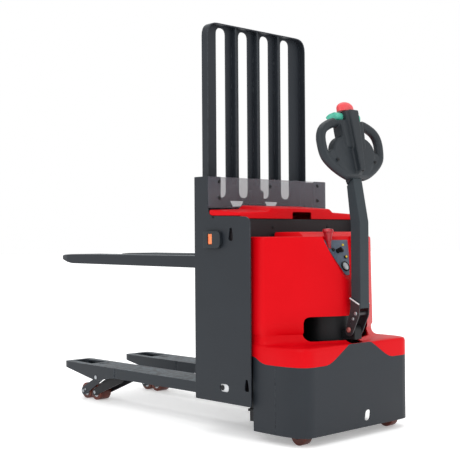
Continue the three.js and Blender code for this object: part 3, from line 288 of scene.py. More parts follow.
batteryPaint = makeFinish("batteryPaint", tone(26, 23, 26), tone(32, 29, 32), 0.55, grainScale=700,
                          grainDepth=0.1,
                          dustAndSheenAmount=0.1, specular=0.25)
bracketPaint = makeFinish("bracketPaint", tone(26, 20, 24), tone(36, 29, 33), 0.4, grainScale=700,
                          grainDepth=0.1,
                          rubbed=greyRub, rubAmount=0.4, dustAndSheenAmount=0.1)
smokedSheet = makeFinish("smokedSheet", tone(96, 96, 104), tone(104, 104, 112), 0.12, scale=6,
                         grainScale=300, grainDepth=0.01,
                         dustAndSheenAmount=0.05, alpha=0.42, specular=0.3)
smokedSheet.surface_render_method = "BLENDED"
floorFinish = makeFinish("floorFinish", tone(250, 250, 250), tone(252, 252, 252), 0.8, grainDepth=0.0,
                         dustAndSheenAmount=0.0)
floorShader = floorFinish.node_tree.nodes["Principled BSDF"]
floorShader.inputs["Emission Color"].default_value = (1, 1, 1, 1)
floorShader.inputs["Emission Strength"].default_value = 0.3
print("materials made")

# making pieces


def finishPiece(bm, name, body, material, stands=(), sharp=35, flats=False):
    bmesh.ops.remove_doubles(bm, verts=bm.verts, dist=0.00001)
    bmesh.ops.recalc_face_normals(bm, faces=bm.faces)
    mesh = bpy.data.meshes.new(name)
    bm.to_mesh(mesh)
    bm.free()
    mesh.polygons.foreach_set("use_smooth", [True] * len(mesh.polygons))
    mesh.set_sharp_from_angle(angle=math.radians(sharp))
    mesh.materials.append(material)
    piece = bpy.data.objects.new(name, mesh)
    scene.collection.objects.link(piece)
    if flats:
        # wide faces keep their own direction, so only the worked edges between them turn
        even = piece.modifiers.new("evenNormals", "WEIGHTED_NORMAL")
        even.mode, even.keep_sharp, even.weight = "FACE_AREA", True, 80
    if body:
        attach(piece, body)
    if stands:
        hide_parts(*stands)
    return piece


def copyOf(node):
    bm = bmesh.new()
    bm.from_mesh(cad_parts[node].data)
    bmesh.ops.remove_doubles(bm, verts=bm.verts, dist=0.00002)
    bmesh.ops.dissolve_limit(bm, angle_limit=math.radians(0.6), verts=bm.verts, edges=bm.edges)
    return bm


def softenEdges(bm, width, angle=30, segments=2, keep=None):
    edges = [e for e in bm.edges if len(e.link_faces) == 2 and e.calc_face_angle(0) > math.radians(angle)
             and (keep is None or keep(e))]
    bmesh.ops.bevel(bm, geom=edges, offset=width / 1000, offset_type="OFFSET", affect="EDGES",
                    segments=segments, profile=0.5, material=-1, clamp_overlap=True)


def boxAt(bm, x0, x1, y0, y1, z0, z1):
    made = bmesh.ops.create_cube(bm, size=1)["verts"]
    low, high = at(x0, y0, z0), at(x1, y1, z1)
    bmesh.ops.scale(bm, vec=high - low, verts=made)
    bmesh.ops.translate(bm, vec=(low + high) / 2, verts=made)
    return made


def turned(bm, profile, middle, axis=(0, 0, 1), steps=32):
    # profile holds (radius, distance along the axis) in millimetres
    verts = [bm.verts.new((r / 1000, 0, h / 1000)) for r, h in profile]
    edges = [bm.edges.new(pair) for pair in zip(verts, verts[1:])]
    made = bmesh.ops.spin(bm, geom=verts + edges, cent=(0, 0, 0), axis=(0, 0, 1), angle=math.tau,
                          steps=steps, use_merge=True)
    ring = set(verts)
    for item in made["geom_last"]:
        if isinstance(item, bmesh.types.BMVert):
            ring.add(item)
    reached = set()
    waiting = list(verts)
    while waiting:
        v = waiting.pop()
        if v in reached:
            continue
        reached.add(v)
        waiting += [e.other_vert(v) for e in v.link_edges]
    reached = list(reached)
    turn = Vector((0, 0, 1)).rotation_difference(Vector(axis)).to_matrix()
    bmesh.ops.rotate(bm, cent=(0, 0, 0), matrix=turn, verts=reached)
    bmesh.ops.translate(bm, vec=middle, verts=reached)
    bmesh.ops.remove_doubles(bm, verts=reached, dist=0.000005)


screwSizes = dict(head=6.5, height=3.2, socket=3.0, depth=2.2)


def addScrew(bm, middle, axis, size=1.0):
    high, low = screwSizes["height"], screwSizes["height"] - screwSizes["depth"]
    head, socket = screwSizes["head"] * size, screwSizes["socket"] * size
    turned(bm, [(0, low), (socket, low), (socket, high), (head * 0.8, high), (head, high * 0.55),
                (head, -0.5), (0, -0.5)], middle, axis, 18)


def prism(bm, outline, axis, low, high):
    # outline in the plane across the axis: (y, z) for x, (x, z) for y, (x, y) for z
    order = {"x": lambda a, b, c: at(c, a, b),
             "y": lambda a, b, c: at(a, c, b),
             "z": lambda a, b, c: at(a, b, c)}[axis]
    face = bm.faces.new([bm.verts.new(order(a, b, low)) for a, b in outline])
    pushed = bmesh.ops.extrude_face_region(bm, geom=[face])["geom"]
    moved = [v for v in pushed if isinstance(v, bmesh.types.BMVert)]
    a, b = outline[0][:2]
    bmesh.ops.translate(bm, vec=order(a, b, high) - order(a, b, low), verts=moved)
    bmesh.ops.recalc_face_normals(bm, faces=bm.faces)
    return moved


def roundedOutline(points, steps=5):
    # (a, b, corner radius) points; each corner becomes an arc of a few points
    out = []
    for i, (a, b, radius) in enumerate(points):
        here = Vector((a, b))
        before = Vector(points[i - 1][:2]) - here
        after = Vector(points[(i + 1) % len(points)][:2]) - here
        if radius <= 0:
            out.append((a, b))
            continue
        start = here + before * min(0.499, radius / before.length)
        end = here + after * min(0.499, radius / after.length)
        for k in range(steps + 1):
            t = k / steps
            p = start * (1 - t) ** 2 + here * 2 * t * (1 - t) + end * t ** 2
            out.append((p.x, p.y))
    return out


def worked(bm, joined=(), cutters=(), modifiers=()):
    # joins and cuts closed shapes, then hands back the worked mesh
    def temporary(shape):
        bmesh.ops.recalc_face_normals(shape, faces=shape.faces)
        mesh = bpy.data.meshes.new("temporary")
        shape.to_mesh(mesh)
        shape.free()
        piece = bpy.data.objects.new("temporary", mesh)
        scene.collection.objects.link(piece)
        return piece
    base = temporary(bm)
    others = [(temporary(shape), "UNION") for shape in joined]
    others += [(temporary(shape), "DIFFERENCE") for shape in cutters]
    for other, operation in others:
        step = base.modifiers.new("step", "BOOLEAN")
        step.operation = operation
        step.solver = "EXACT"
        step.object = other
    for kind, settings in modifiers:
        step = base.modifiers.new("step", kind)
        for key, value in settings.items():
            setattr(step, key, value)
    bpy.context.view_layer.update()
    done = bpy.data.meshes.new_from_object(base.evaluated_get(bpy.context.evaluated_depsgraph_get()))
    result = bmesh.new()
    result.from_mesh(done)
    for piece in [base] + [other for other, operation in others]:
        mesh = piece.data
        bpy.data.objects.remove(piece)
        bpy.data.meshes.remove(mesh)
    bpy.data.meshes.remove(done)
    bmesh.ops.remove_doubles(result, verts=result.verts, dist=0.00002)
    return result


# steelwork kept close to the frame: worked edges on each sheet and bar

steelwork = [
    ("sidePanelLeft", "side_panel_left", "lift_frame", darkPaint, "dark_paint", 1.0),
    ("sidePanelRight", "side_panel_right", "lift_frame", darkPaint, "dark_paint", 1.0),
    ("liftBeam", "lift_beam", "lift_frame", darkPaint, "dark_paint", 1.2),
    ("mastRails", "mast", "lift_frame", blackSteel, "black_steel", 1.2),
    ("batteryBox", "battery_box", "lift_frame", batteryPaint, "dark_paint", 0.8),
    ("batteryPack", "battery_pack", "lift_frame", blackSteel, "black_steel", 3.0),
    ("mastCylinder", "mast_cylinder", "lift_frame", blackSteel, "black_steel", 1.0),
    ("anchorChain", "anchor_chain", "lift_frame", brightSteel, "steel", 0.6),
    ("initialRam", "initial_ram", "lift_frame", brightSteel, "steel", 1.0),
    ("legLeft", "leg_left", "lift_frame", deckPaint, "deck_paint", 1.6),
    ("legRight", "leg_right", "lift_frame", deckPaint, "deck_paint", 1.6),
    ("backrest", "backrest", "carriage", darkPaint, "dark_paint", 1.2),
    ("forkLeft", "fork_left", "carriage", darkPaint, "dark_paint", 2.0),
    ("forkRight", "fork_right", "carriage", darkPaint, "dark_paint", 2.0),
    ("carriageChain", "carriage_chain", "carriage", brightSteel, "steel", 0.6),
    ("carriageRollerLeft", "carriage_roller_left", "carriage_roller_left", brightSteel, "steel", 1.0),
    ("carriageRollerRight", "carriage_roller_right", "carriage_roller_right", brightSteel, "steel", 1.0),
    ("liftRam", "lift_ram", "ram", brightSteel, "steel", 1.0),
    ("chainPulley", "chain_pulley", "pulley", brightSteel, "steel", 1.5),
    ("chassisFrame", "chassis_frame", "chassis", blackSteel, "black_steel", 1.2),
    ("pumpUnit", "pump_unit", "chassis", blackSteel, "black_steel", 3.0),
    ("initialCylinder", "initial_cylinder", "chassis", blackSteel, "black_steel", 1.0),
    ("driveUnit", "drive_unit", "steer_unit", blackSteel, "black_steel", 2.0),
    ("tillerBase", "tiller_base", "steer_unit", blackSteel, "black_steel", 1.5),
    ("tillerArm", "tiller_arm", "tiller", armPlastic, "dark_plastic", 3.0),
    ("tillerBracket", "tiller_bracket", "tiller", bracketPaint, "black_steel", 0.8),
    ("springBarrel", "gas_spring_barrel", "spring_barrel", blackSteel, "black_steel", 0.8),
    ("springRod", "gas_spring_rod", "spring_rod", brightSteel, "steel", 0.6),
    ("liftButton", "lift_button", "lift_button", palePlastic, "pale_plastic", 1.5),
    ("lowerButton", "lower_button", "lower_button", darkPlastic, "dark_plastic", 1.5),
    ("ignitionKey", "ignition_key", "ignition_key", blackSteel, "black_steel", 0.8),
]
for side in ("left", "right"):
    label = side.capitalize()
    steelwork += [
        ("frontArm" + label, "front_roller_arm_" + side, "front_arm_" + side, deckPaint, "deck_paint", 1.0),
        ("rearArm" + label, "rear_roller_arm_" + side, "rear_arm_" + side, blackSteel, "black_steel", 1.0),
        ("pushRod" + label, "push_rod_" + side, "push_rod_" + side, brightSteel, "steel", 0.8),
        ("casterFork" + label, "caster_fork_" + side, "caster_fork_" + side, blackSteel, "black_steel",
         1.0),
        ("sideLamp" + label, "side_lamp_" + side, "lift_frame", darkPlastic, "dark_plastic", 2.5),
        ("lampLens" + label, "lamp_lens_" + side, "lift_frame", amberLens, "amber_lens", 1.5),
    ]
bracketRelief = dict(behind=0.905, depth=0.007, start=0.43, over=0.05)
for name, node, body, material, slotName, width in steelwork:
    bm = copyOf(node)
    softenEdges(bm, width)
    if name == "tillerBracket":
        # a touch of relief on the front edge, which sweeps past the lip of the cover's slot
        k = bracketRelief
        for v in bm.verts:
            if v.co.x < k["behind"]:
                v.co.x += k["depth"] * min(1, max(0, (v.co.z - k["start"]) / k["over"]))
    finishPiece(bm, name, body, material, [node], flats=True)
print("steelwork made")

# rear skirt

skirtSizes = dict(edge=1.4, creaseX=465, creaseWidth=2.4, creaseDepth=1.6, half=365, top=330)
bm = copyOf("rear_skirt")
softenEdges(bm, skirtSizes["edge"])
creases = bmesh.new()
k = skirtSizes
for side in (-1, 1):
    near, far = sorted((side * (k["half"] - k["creaseDepth"]), side * (k["half"] + 5)))
    boxAt(creases, k["creaseX"], k["creaseX"] + k["creaseWidth"], near, far, 20, k["top"])
bm = worked(bm, cutters=[creases])
finishPiece(bm, "rearSkirt", "chassis", darkPaint, ["rear_skirt"], sharp=32, flats=True)
print("skirt made")

# guard screen

bm = copyOf("guard_screen")
finishPiece(bm, "guardScreen", "lift_frame", smokedSheet, ["guard_screen"])
bm = bmesh.new()
guardFace = 91.4
for y, z in ((-321, 1092), (-321, 1021), (0, 1079), (325, 1091), (325, 1021)):
    addScrew(bm, at(guardFace, y, z), (1, 0, 0), 1.15)
finishPiece(bm, "guardScrews", "lift_frame", blackSteel)

# battery hood

hoodSizes = dict(front=95, rear=287, half=386, frontTop=990, wing=973, deck=190, step=24, slope=0.085,
                 round=7, wall=4, bottom=927, lip=2.5, shoulder=933, shoulderRise=7, neck=87, notch=34)


def hoodShape(inset):
    h = hoodSizes
    half, deck = h["half"] - inset, h["deck"] - inset * 0.6
    top, wing = h["frontTop"] - inset, h["wing"] - inset
    bm = bmesh.new()
    foot = deck + h["step"]
    prism(bm, [(-half, 880), (half, 880), (half, wing - 6), (foot, wing), (deck, top), (-deck, top),
               (-foot, wing), (-half, wing - 6)], "x", h["front"] + inset, h["rear"] - inset)
    if inset == 0:
        low = at(0, 0, 900).z
        softenEdges(bm, h["round"], 14, 4, lambda e: max(v.co.z for v in e.verts) > low)
    for v in bm.verts:
        v.co.z -= h["slope"] * (v.co.x - at(h["front"], 0, 0).x)
    return bm


h = hoodSizes
below, notch, shoulders = bmesh.new(), bmesh.new(), []
boxAt(below, 0, 400, -500, 500, 700, h["bottom"])
prism(notch, roundedOutline([(-62, 900, 0), (62, 900, 0), (62, 957, 9), (-62, 957, 9)]), "x",
      h["rear"] - 20, h["rear"] + 20)
seam = h["shoulder"] + h["lip"]
for y0, y1 in ((-400, -379), (379, 400)):
    cutter = bmesh.new()
    neck = h["neck"] + h["lip"]
    prism(cutter, roundedOutline([(0, 700, 0), (400, 700, 0), (400, seam, 0),
                                  (neck, seam + h["shoulderRise"], h["notch"]), (neck, 1100, 0),
                                  (0, 1100, 0)], 8), "y", y0, y1)
    shoulders.append(cutter)
bm = worked(hoodShape(0), cutters=[hoodShape(h["wall"]), below, notch] + shoulders)
finishPiece(bm, "batteryHood", "hood", redCover, ["hood"], sharp=38)
print("hood made")

# drive cover: rings from the seam, over the shelf and up the tower

coverSizes = dict(front=292, seam=322.4, shelf=398, edge=14, side=365, creaseX=465, rear=615, flat=285,
                  wallHalf=356, wallEnd=391, ridgeX=482, ridgeHalf=202, steerX=425, nose=135, top=848,
                  draft=0.016, reach=58, rise=50, tongueHalf=72, tongueFoot=196, shoulderRise=28, wall=5,
                  deckHalf=185, deckTop=868, cornerReach=16)


def arcPoints(start, corner, end, count):
    return [(start * (1 - t) ** 2 + corner * 2 * t * (1 - t) + end * t ** 2)
            for t in (k / (count - 1) for k in range(count))]


def cubicPoints(a, b, c, d, count):
    return [a * (1 - t) ** 3 + b * 3 * t * (1 - t) ** 2 + c * 3 * t * t * (1 - t) + d * t ** 3
            for t in (k / (count - 1) for k in range(count))]


def between(a, b, count):
    return [a.lerp(b, (k + 1) / (count + 1)) for k in range(count)]


def wallPath(out):
    # left half of the tower's plan, from the front to the middle of the nose
    c = coverSizes
    ridge = Vector((c["ridgeX"] + out * 0.5, -c["ridgeHalf"] - out))
    corner = Vector((c["wallEnd"] + out * 0.6, -c["wallHalf"] - out))
    front = Vector((c["front"], -c["wallHalf"] - out))
    radius = c["nose"] + out
    away = ridge - Vector((c["steerX"], 0))
    tangent = math.atan2(-away.y, away.x) - math.acos(radius / away.length)
    touch = Vector((c["steerX"] + radius * math.cos(tangent), -radius * math.sin(tangent)))
    reach = c["cornerReach"]
    firstCut = corner + (front - corner).normalized() * reach
    firstEnd = corner + (ridge - corner).normalized() * reach
    nextCut = ridge + (corner - ridge).normalized() * reach
    nextEnd = ridge + (touch - ridge).normalized() * reach
    path = [front] + between(front, firstCut, 5)
    path += arcPoints(firstCut, corner, firstEnd, 6) + between(firstEnd, nextCut, 8)
    path += arcPoints(nextCut, ridge, nextEnd, 6) + between(nextEnd, touch, 8)
    path += [Vector((c["steerX"] + radius * math.cos(a), -radius * math.sin(a))) for a in
             (tangent * (1 - k / 7) for k in range(8))]
    return path


def bandPath(inset):
    c = coverSizes
    side, rear, flat = c["side"] - inset, c["rear"] - inset, c["flat"] - inset * 0.6
    dense = [Vector((c["front"], -side)), Vector((c["creaseX"], -side))]
    dense += cubicPoints(dense[-1], Vector((rear - 50, -side + 2)), Vector((rear, -side + 20)),
                         Vector((rear, -flat)), 24)[1:]
    dense += [Vector((rear, 0))]
    runs = [0]
    for a, b in zip(dense, dense[1:]):
        runs.append(runs[-1] + (b - a).length)
    whole = runs[-1]
    marks = [(0, 0), (6, 83), (11, 115), (20, 250), (25, 285), (34, 395), (41, whole)]
    path = []
    for i in range(42):
        (i0, s0), (i1, s1) = [(m, n) for m, n in zip(marks, marks[1:]) if m[0] <= i <= n[0]][0]
        s = s0 + (s1 - s0) * (i - i0) / (i1 - i0)
        k = max(n for n in range(len(runs) - 1) if runs[n] <= s + 1e-6)
        path.append(dense[k].lerp(dense[k + 1], min(1, (s - runs[k]) / max(1e-6, runs[k + 1] - runs[k]))))
    return path


def belowSeam():
    # what the skirt takes from the cover: the side below the seam, and the tongue behind
    c = coverSizes
    seam, foot, half = c["seam"], c["tongueFoot"], c["tongueHalf"]
    side, tongue = bmesh.new(), bmesh.new()
    shoulder, peak, level = seam + c["shoulderRise"], c["shelf"] + 0.8, seam + 0.2
    prism(side, roundedOutline([(200, 200, 0), (700, 200, 0), (700, seam, 0), (396, seam, 30),
                                (348, shoulder, 12), (200, shoulder, 0)]), "y", -500, 500)
    tongueEdge = [(-foot - 60, seam - 60, 0), (-foot - 60, level, 0), (-foot, level, 46), (-half, peak, 26),
                  (half, peak, 26), (foot, level, 46), (foot + 60, level, 0), (foot + 60, seam - 60, 0)]
    prism(tongue, roundedOutline(tongueEdge, 8), "x", c["rear"] - 8, 700)
    return [side, tongue]


def coverShape(inset):
    c = coverSizes
    band, wall = bandPath(inset), wallPath(-inset)
    low, edge = c["seam"] - 40, c["edge"]
    shelf = c["shelf"] - inset
    rings = []
    def ring(share, height, floorAt=None):
        points = []
        for b, w in zip(band, wall):
            gap = (w - b).length
            reach = min(c["reach"], 0.7 * gap)
            p = b.lerp(w, share(gap, reach) / gap)
            points.append((p.x, p.y, height))
        rings.append(points)
    ring(lambda g, r: 0, low)
    ring(lambda g, r: 0, (c["seam"] + shelf) / 2 - 4)
    ring(lambda g, r: 0, shelf - edge)
    ring(lambda g, r: min(2.2, 0.1 * g), shelf - edge * 0.45)
    ring(lambda g, r: min(6.5, 0.2 * g), shelf - edge * 0.12)
    ring(lambda g, r: min(13, 0.28 * g), shelf)
    ring(lambda g, r: g - r, shelf + 0.5)
    for k in range(1, 8):
        a = k / 8 * math.pi / 2
        ring(lambda g, r: g - r * (1 - math.sin(a)), shelf + 0.5 + c["rise"] * (1 - math.cos(a)))
    def tower(height, tuck):
        path = wallPath(c["draft"] * (c["top"] - height) - tuck - inset)
        rings.append([(p.x, p.y, height) for p in path])
    for k in range(9):
        tower(449 + (832 - 449) * k / 8, 0)
    top = c["top"] - inset
    for height, tuck in ((top - 8, 0.6), (top - 4, 2.2), (top - 1.2, 5), (top, 10)):
        tower(height, tuck)
    bm = bmesh.new()
    loops = []
    for points in rings:
        whole = points + [(x, -y, z) for x, y, z in reversed(points[:-1])]
        if inset:
            whole = [(x - 30 if i in (0, len(whole) - 1) else x, y, z) for i, (x, y, z) in enumerate(whole)]
        count = len(whole)
        loop = bmesh.ops.create_circle(bm, segments=count, radius=1)["verts"]
        for v, (x, y, z) in zip(loop, whole):
            v.co = at(x, y, z)
        loops.append([bm.edges.get((loop[i], loop[(i + 1) % count])) for i in range(count)])
    for lower, upper in zip(loops, loops[1:]):
        bmesh.ops.bridge_loops(bm, edges=lower + upper)
    bmesh.ops.contextual_create(bm, geom=loops[0])
    bmesh.ops.contextual_create(bm, geom=loops[-1])
    bmesh.ops.recalc_face_normals(bm, faces=bm.faces)
    return bm


def deckShape(inset):
    c = coverSizes
    half = c["deckHalf"] - inset
    bm = bmesh.new()
    front, top = c["front"] - inset * 6, c["deckTop"] - inset
    prism(bm, [(front, 800), (468, 800), (476 - inset, 838 - inset), (466, 846 - inset), (436, top),
               (front, top)], "y", -half - 8, half + 8)
    for v in bm.verts:
        if v.co.z > at(0, 0, 850).z:
            v.co.y -= math.copysign(0.014, v.co.y)
    if inset == 0:
        softenEdges(bm, 6, 12, 3, lambda e: min(v.co.z for v in e.verts) > at(0, 0, 830).z)
    return bm


pocketSizes = dict(topX=475, topZ=838, bottomX=549, bottomZ=674, halfTop=80, halfBottom=12)


def toSlope(bm, verts):
    # from across, up and out of the console's slope to where it lies
    p = pocketSizes
    run, rise = p["bottomX"] - p["topX"], p["topZ"] - p["bottomZ"]
    length = math.hypot(run, rise)
    slant = Matrix(((0, -run / length, rise / length), (1, 0, 0), (0, rise / length, run / length)))
    place = at(p["topX"], 0, p["topZ"])
    for v in verts:
        v.co = place + slant @ (v.co - at(0, 0, 0))


def noseCut(rim=22, flare=26):
    # the pocket, a rim wider than the console, opening out towards the driver
    p = pocketSizes
    length = math.hypot(p["bottomX"] - p["topX"], p["topZ"] - p["bottomZ"])
    top, waist, foot = p["halfTop"] + rim, p["halfTop"] * 0.72 + rim, p["halfBottom"] + rim * 0.8
    bend, tip = -length * 0.4, -length - rim + 8
    outline = roundedOutline([(-top, 90, 0), (-top, -6, 20), (-waist, bend, 50), (-foot, tip, 20),
                              (foot, tip, 20), (waist, bend, 50), (top, -6, 20), (top, 90, 0)], 6)
    bm = bmesh.new()
    prism(bm, outline, "z", 0, 8)
    upper = [v for v in bm.verts if v.co.z > 0.004]
    rise = [f for f in bm.faces if all(v in set(upper) for v in f.verts)]
    pushed = bmesh.ops.extrude_face_region(bm, geom=rise)["geom"]
    for v in pushed:
        if isinstance(v, bmesh.types.BMVert):
            local = v.co - at(0, 0, 0)
            reach = flare / 1000
            v.co.x += math.copysign(reach, local.x) * min(1, abs(local.x) / 0.03)
            v.co.y -= reach * max(0, min(1, -local.y / (length / 1000)))
            v.co.z += 0.034
    bmesh.ops.delete(bm, geom=[f for f in rise if f.is_valid], context="FACES")
    last = [f for f in bm.faces if all(v.co.z > 0.04 for v in f.verts)]
    pushed = bmesh.ops.extrude_face_region(bm, geom=last)["geom"]
    raised = [v for v in pushed if isinstance(v, bmesh.types.BMVert)]
    bmesh.ops.translate(bm, vec=(0, 0, 0.18), verts=raised)
    bmesh.ops.delete(bm, geom=[f for f in last if f.is_valid], context="FACES")
    bmesh.ops.recalc_face_normals(bm, faces=bm.faces)
    toSlope(bm, bm.verts)
    return bm


c = coverSizes
slotSizes = dict(half=210, bottom=409, top=511, round=30, inside=445)
k = slotSizes
slotCut = bmesh.new()
prism(slotCut, roundedOutline([(-k["half"], k["bottom"], k["round"]), (k["half"], k["bottom"], k["round"]),
                               (k["half"], k["top"], k["round"]), (-k["half"], k["top"], k["round"])], 8),
      "x", k["inside"], 700)
mouth = bmesh.new()
boxAt(mouth, 556, 603, -40, 40, 380, 420)
coverInside = coverShape(c["wall"])
backing = at(pocketSizes["topX"] - 10, 0, pocketSizes["topZ"])
for v in coverInside.verts:
    out = (v.co - backing).dot(Vector((164, 0, 74)).normalized())
    if out > 0 and v.co.z > at(0, 0, 600).z and abs(v.co.y) < 0.14:
        v.co.x -= out * 180 / 164
bm = worked(coverShape(0), joined=[deckShape(0)],
            cutters=[coverInside, noseCut(), slotCut, mouth] + belowSeam())
finishPiece(bm, "driveCover", "chassis", redCover, ["drive_cover"], sharp=40)
print("cover made")
bm = copyOf("console_panel")
softenEdges(bm, 0.6)
finishPiece(bm, "consolePanel", "chassis", consolePlastic, ["console_panel"])
bm = copyOf("battery_gauge")
softenEdges(bm, 0.8)
finishPiece(bm, "batteryGauge", "chassis", brightSteel, ["battery_gauge"])
bm = copyOf("stop_button")
softenEdges(bm, 1.2)
finishPiece(bm, "stopButton", "stop_button", stopRed, ["stop_button"])

# tiller head

headSizes = dict(x=594, z=1105, lean=math.radians(10.8), webRear=-15, webFront=17, grain=0.003,
                 buttonY=24, buttonHalf=13, buttonLow=195, buttonHigh=227)


def onHead(x, y, w):
    # a point of the leaning head: ahead, across, and up from its foot
    across, up = math.cos(headSizes["lean"]), math.sin(headSizes["lean"])
    return at(headSizes["x"] + x * across - w * up, y, headSizes["z"] + x * up + w * across)


def leanBack(bm, drawnAt, foot=0):
    # moves a shape drawn upright about drawnAt to a height above the head's foot, and leans it
    turn = Matrix.Rotation(-headSizes["lean"], 3, "Y")
    bmesh.ops.translate(bm, vec=-drawnAt, verts=bm.verts)
    bmesh.ops.rotate(bm, cent=(0, 0, 0), matrix=turn, verts=bm.verts)
    bmesh.ops.translate(bm, vec=onHead(0, 0, foot), verts=bm.verts)


# thin webs close the groove between the round body and the lower half of each grip
web = bmesh.new()
h = headSizes
webEdge = [(-50, 4, 4), (-92, 18, 30), (-150, 52, 20), (-166, 96, 20), (-128, 104, 20), (-60, 104, 4),
           (60, 104, 4), (128, 104, 20), (166, 96, 20), (150, 52, 20), (92, 18, 30), (50, 4, 4)]
prism(web, roundedOutline(webEdge), "x", h["webRear"], h["webFront"])
leanBack(web, at(0, 0, 0))
bm = worked(copyOf("tiller_head"), joined=[web],
            modifiers=[("REMESH", dict(mode="VOXEL", voxel_size=h["grain"])),
                       ("SMOOTH", dict(factor=0.6, iterations=9))])
# the two button bays of the fork side are cut again, crisp, after the smoothing
bays = []
for y in (-h["buttonY"], h["buttonY"]):
    near, far, low, high = y - h["buttonHalf"], y + h["buttonHalf"], h["buttonLow"], h["buttonHigh"]
    bay = bmesh.new()
    prism(bay, [(near, low), (far, low), (far, high), (near, high)], "x", -60, -14)
    leanBack(bay, at(0, 0, 0))
    bays.append(bay)
bm = worked(bm, cutters=bays)
finishPiece(bm, "tillerHead", "tiller", darkPlastic, ["tiller_head"], sharp=60)
ahead = Vector((math.cos(h["lean"]), 0, math.sin(h["lean"])))

# belly button: half a ball on a short straight foot
bellySizes = dict(half=47, deep=27, foot=278.8, top=321.4, shoulder=14)
bm = bmesh.new()
k = bellySizes
bmesh.ops.create_uvsphere(bm, u_segments=40, v_segments=20, radius=1)
bmesh.ops.bisect_plane(bm, geom=bm.verts[:] + bm.edges[:] + bm.faces[:], plane_co=(0, 0, 0),
                       plane_no=(0, 0, -1), clear_outer=True)
rim = [e for e in bm.edges if e.is_boundary]
crown = k["top"] - k["foot"] - k["shoulder"]
bmesh.ops.scale(bm, vec=(k["deep"] / 1000, k["half"] / 1000, crown / 1000), verts=bm.verts)
skirtRing = bmesh.ops.extrude_edge_only(bm, edges=rim)["geom"]
lowered = [v for v in skirtRing if isinstance(v, bmesh.types.BMVert)]
bmesh.ops.translate(bm, vec=(0, 0, -k["shoulder"] / 1000), verts=lowered)
bmesh.ops.contextual_create(bm, geom=[e for e in bm.edges if e.is_boundary])
bmesh.ops.translate(bm, vec=(0, 0, k["shoulder"] / 1000), verts=bm.verts)
leanBack(bm, Vector((0, 0, 0)), k["foot"])
finishPiece(bm, "bellyButton", "belly_button", softRed, ["belly_button"])
bm = copyOf("throttle")
softenEdges(bm, 5, segments=4)
finishPiece(bm, "throttleWings", "throttle", tealPlastic, ["throttle"])
bm = bmesh.new()
for y, w, x in ((-122, 58, 21), (122, 58, 21), (0, 12, 43)):
    addScrew(bm, onHead(x, y, w), ahead, 1.1)
finishPiece(bm, "headScrews", "tiller", blackSteel)
print("head made")

# small fittings

fittings = bmesh.new()
for x, z in ((79, 838), (165, 838)):
    for side in (-1, 1):
        addScrew(fittings, at(x, side * 398.5, z), (0, side, 0), 0.8)
for side in (-1, 1):
    addScrew(fittings, at(120, side * 386, 935), (0, side, 0), 0.9)
    addScrew(fittings, at(280, side * 179, 890), (1, 0, 0), 1.0)
finishPiece(fittings, "panelScrews", "lift_frame", blackSteel)

plates = bmesh.new()
for side in (-1, 1):
    prism(plates, roundedOutline([(150, 183, 20), (218, 183, 20), (218, 225, 20), (150, 225, 20)]), "y",
          side * 380, side * 378)
finishPiece(plates, "slotPlates", "lift_frame", palePlastic)
plugs = bmesh.new()
for side in (-1, 1):
    turned(plugs, [(0, 0), (11, 0), (11, 4), (0, 4)], at(170, side * 380.5, 204), (0, side, 0), 24)
finishPiece(plugs, "slotPlugs", "lift_frame", blackSteel)

lampFrames = bmesh.new()
for side in (-1, 1):
    for x0, x1, z0, z1 in ((97, 101.5, 812, 866), (129.6, 134, 812, 866),
                           (101.5, 129.6, 812, 816.4), (101.5, 129.6, 862.6, 866)):
        y0, y1 = sorted((side * 400, side * 402.2))
        boxAt(lampFrames, x0, x1, y0, y1, z0, z1)
finishPiece(lampFrames, "lampFrames", "lift_frame", blackSteel)

bolts = bmesh.new()
for side in (-1, 1):
    turned(bolts, [(0, 2.5), (7, 2.5), (10, 1.2), (10, -0.5), (0, -0.5)], at(-896, side * 286.4, 130),
           (0, side, 0), 24)
finishPiece(bolts, "armBolts", "lift_frame", brightSteel)
for side, name in ((-1, "left"), (1, "right")):
    bm = bmesh.new()
    for out in (-1, 1):
        turned(bm, [(0, 6), (7, 6), (9, 4.5), (9, 0), (0, 0)], at(-1052, side * 202 + out * 51.2, 41),
               (0, out, 0), 20)
        turned(bm, [(0, 3), (5, 3), (6, 2), (6, 0), (0, 0)], at(-1036, side * 202 + out * 51.2, 50),
               (0, out, 0), 16)
    finishPiece(bm, "frontAxle" + name.capitalize(), "front_arm_" + name, brightSteel)
    bm = bmesh.new()
    for out in (-1, 1):
        turned(bm, [(0, 1.6), (7.6, 1.6), (9, 0.8), (9, 0), (0, 0)], at(-966, side * 202 + out * 43.2, 41),
               (0, out, 0), 20)
    finishPiece(bm, "rearAxle" + name.capitalize(), "rear_arm_" + name, brightSteel)

# tiller foot: copper pivot bolt, spacer bolts and the pale strip on the cheek
bm = bmesh.new()
for out in (-1, 1):
    turned(bm, [(0, 6), (8, 6), (11, 4), (11, 0), (0, 0)], at(582, out * 34.5, 453), (0, out, 0), 24)
finishPiece(bm, "pivotBolts", "steer_unit", copperBolt)
bm = bmesh.new()
cheekSlope = Matrix.Rotation(math.atan2(26, 52), 3, "Y")
for out in (-1, 1):
    strip = boxAt(bm, -28, 28, -0.8, 0.8, -2.6, 2.6)
    bmesh.ops.translate(bm, vec=-at(0, 0, 0), verts=strip)
    bmesh.ops.rotate(bm, cent=(0, 0, 0), matrix=cheekSlope, verts=strip)
    bmesh.ops.translate(bm, vec=at(612, out * 34.2, 575), verts=strip)
finishPiece(bm, "cheekStrips", "tiller", palePlastic)
bm = bmesh.new()  # only on the side away from the gas spring
turned(bm, [(0, 4), (6, 4), (8, 2.5), (8, 0), (0, 0)], at(618, -33.4, 523), (0, -1, 0), 18)
turned(bm, [(0, 4), (5, 4), (6.5, 2.5), (6.5, 0), (0, 0)], at(604, -33.4, 500), (0, -1, 0), 18)
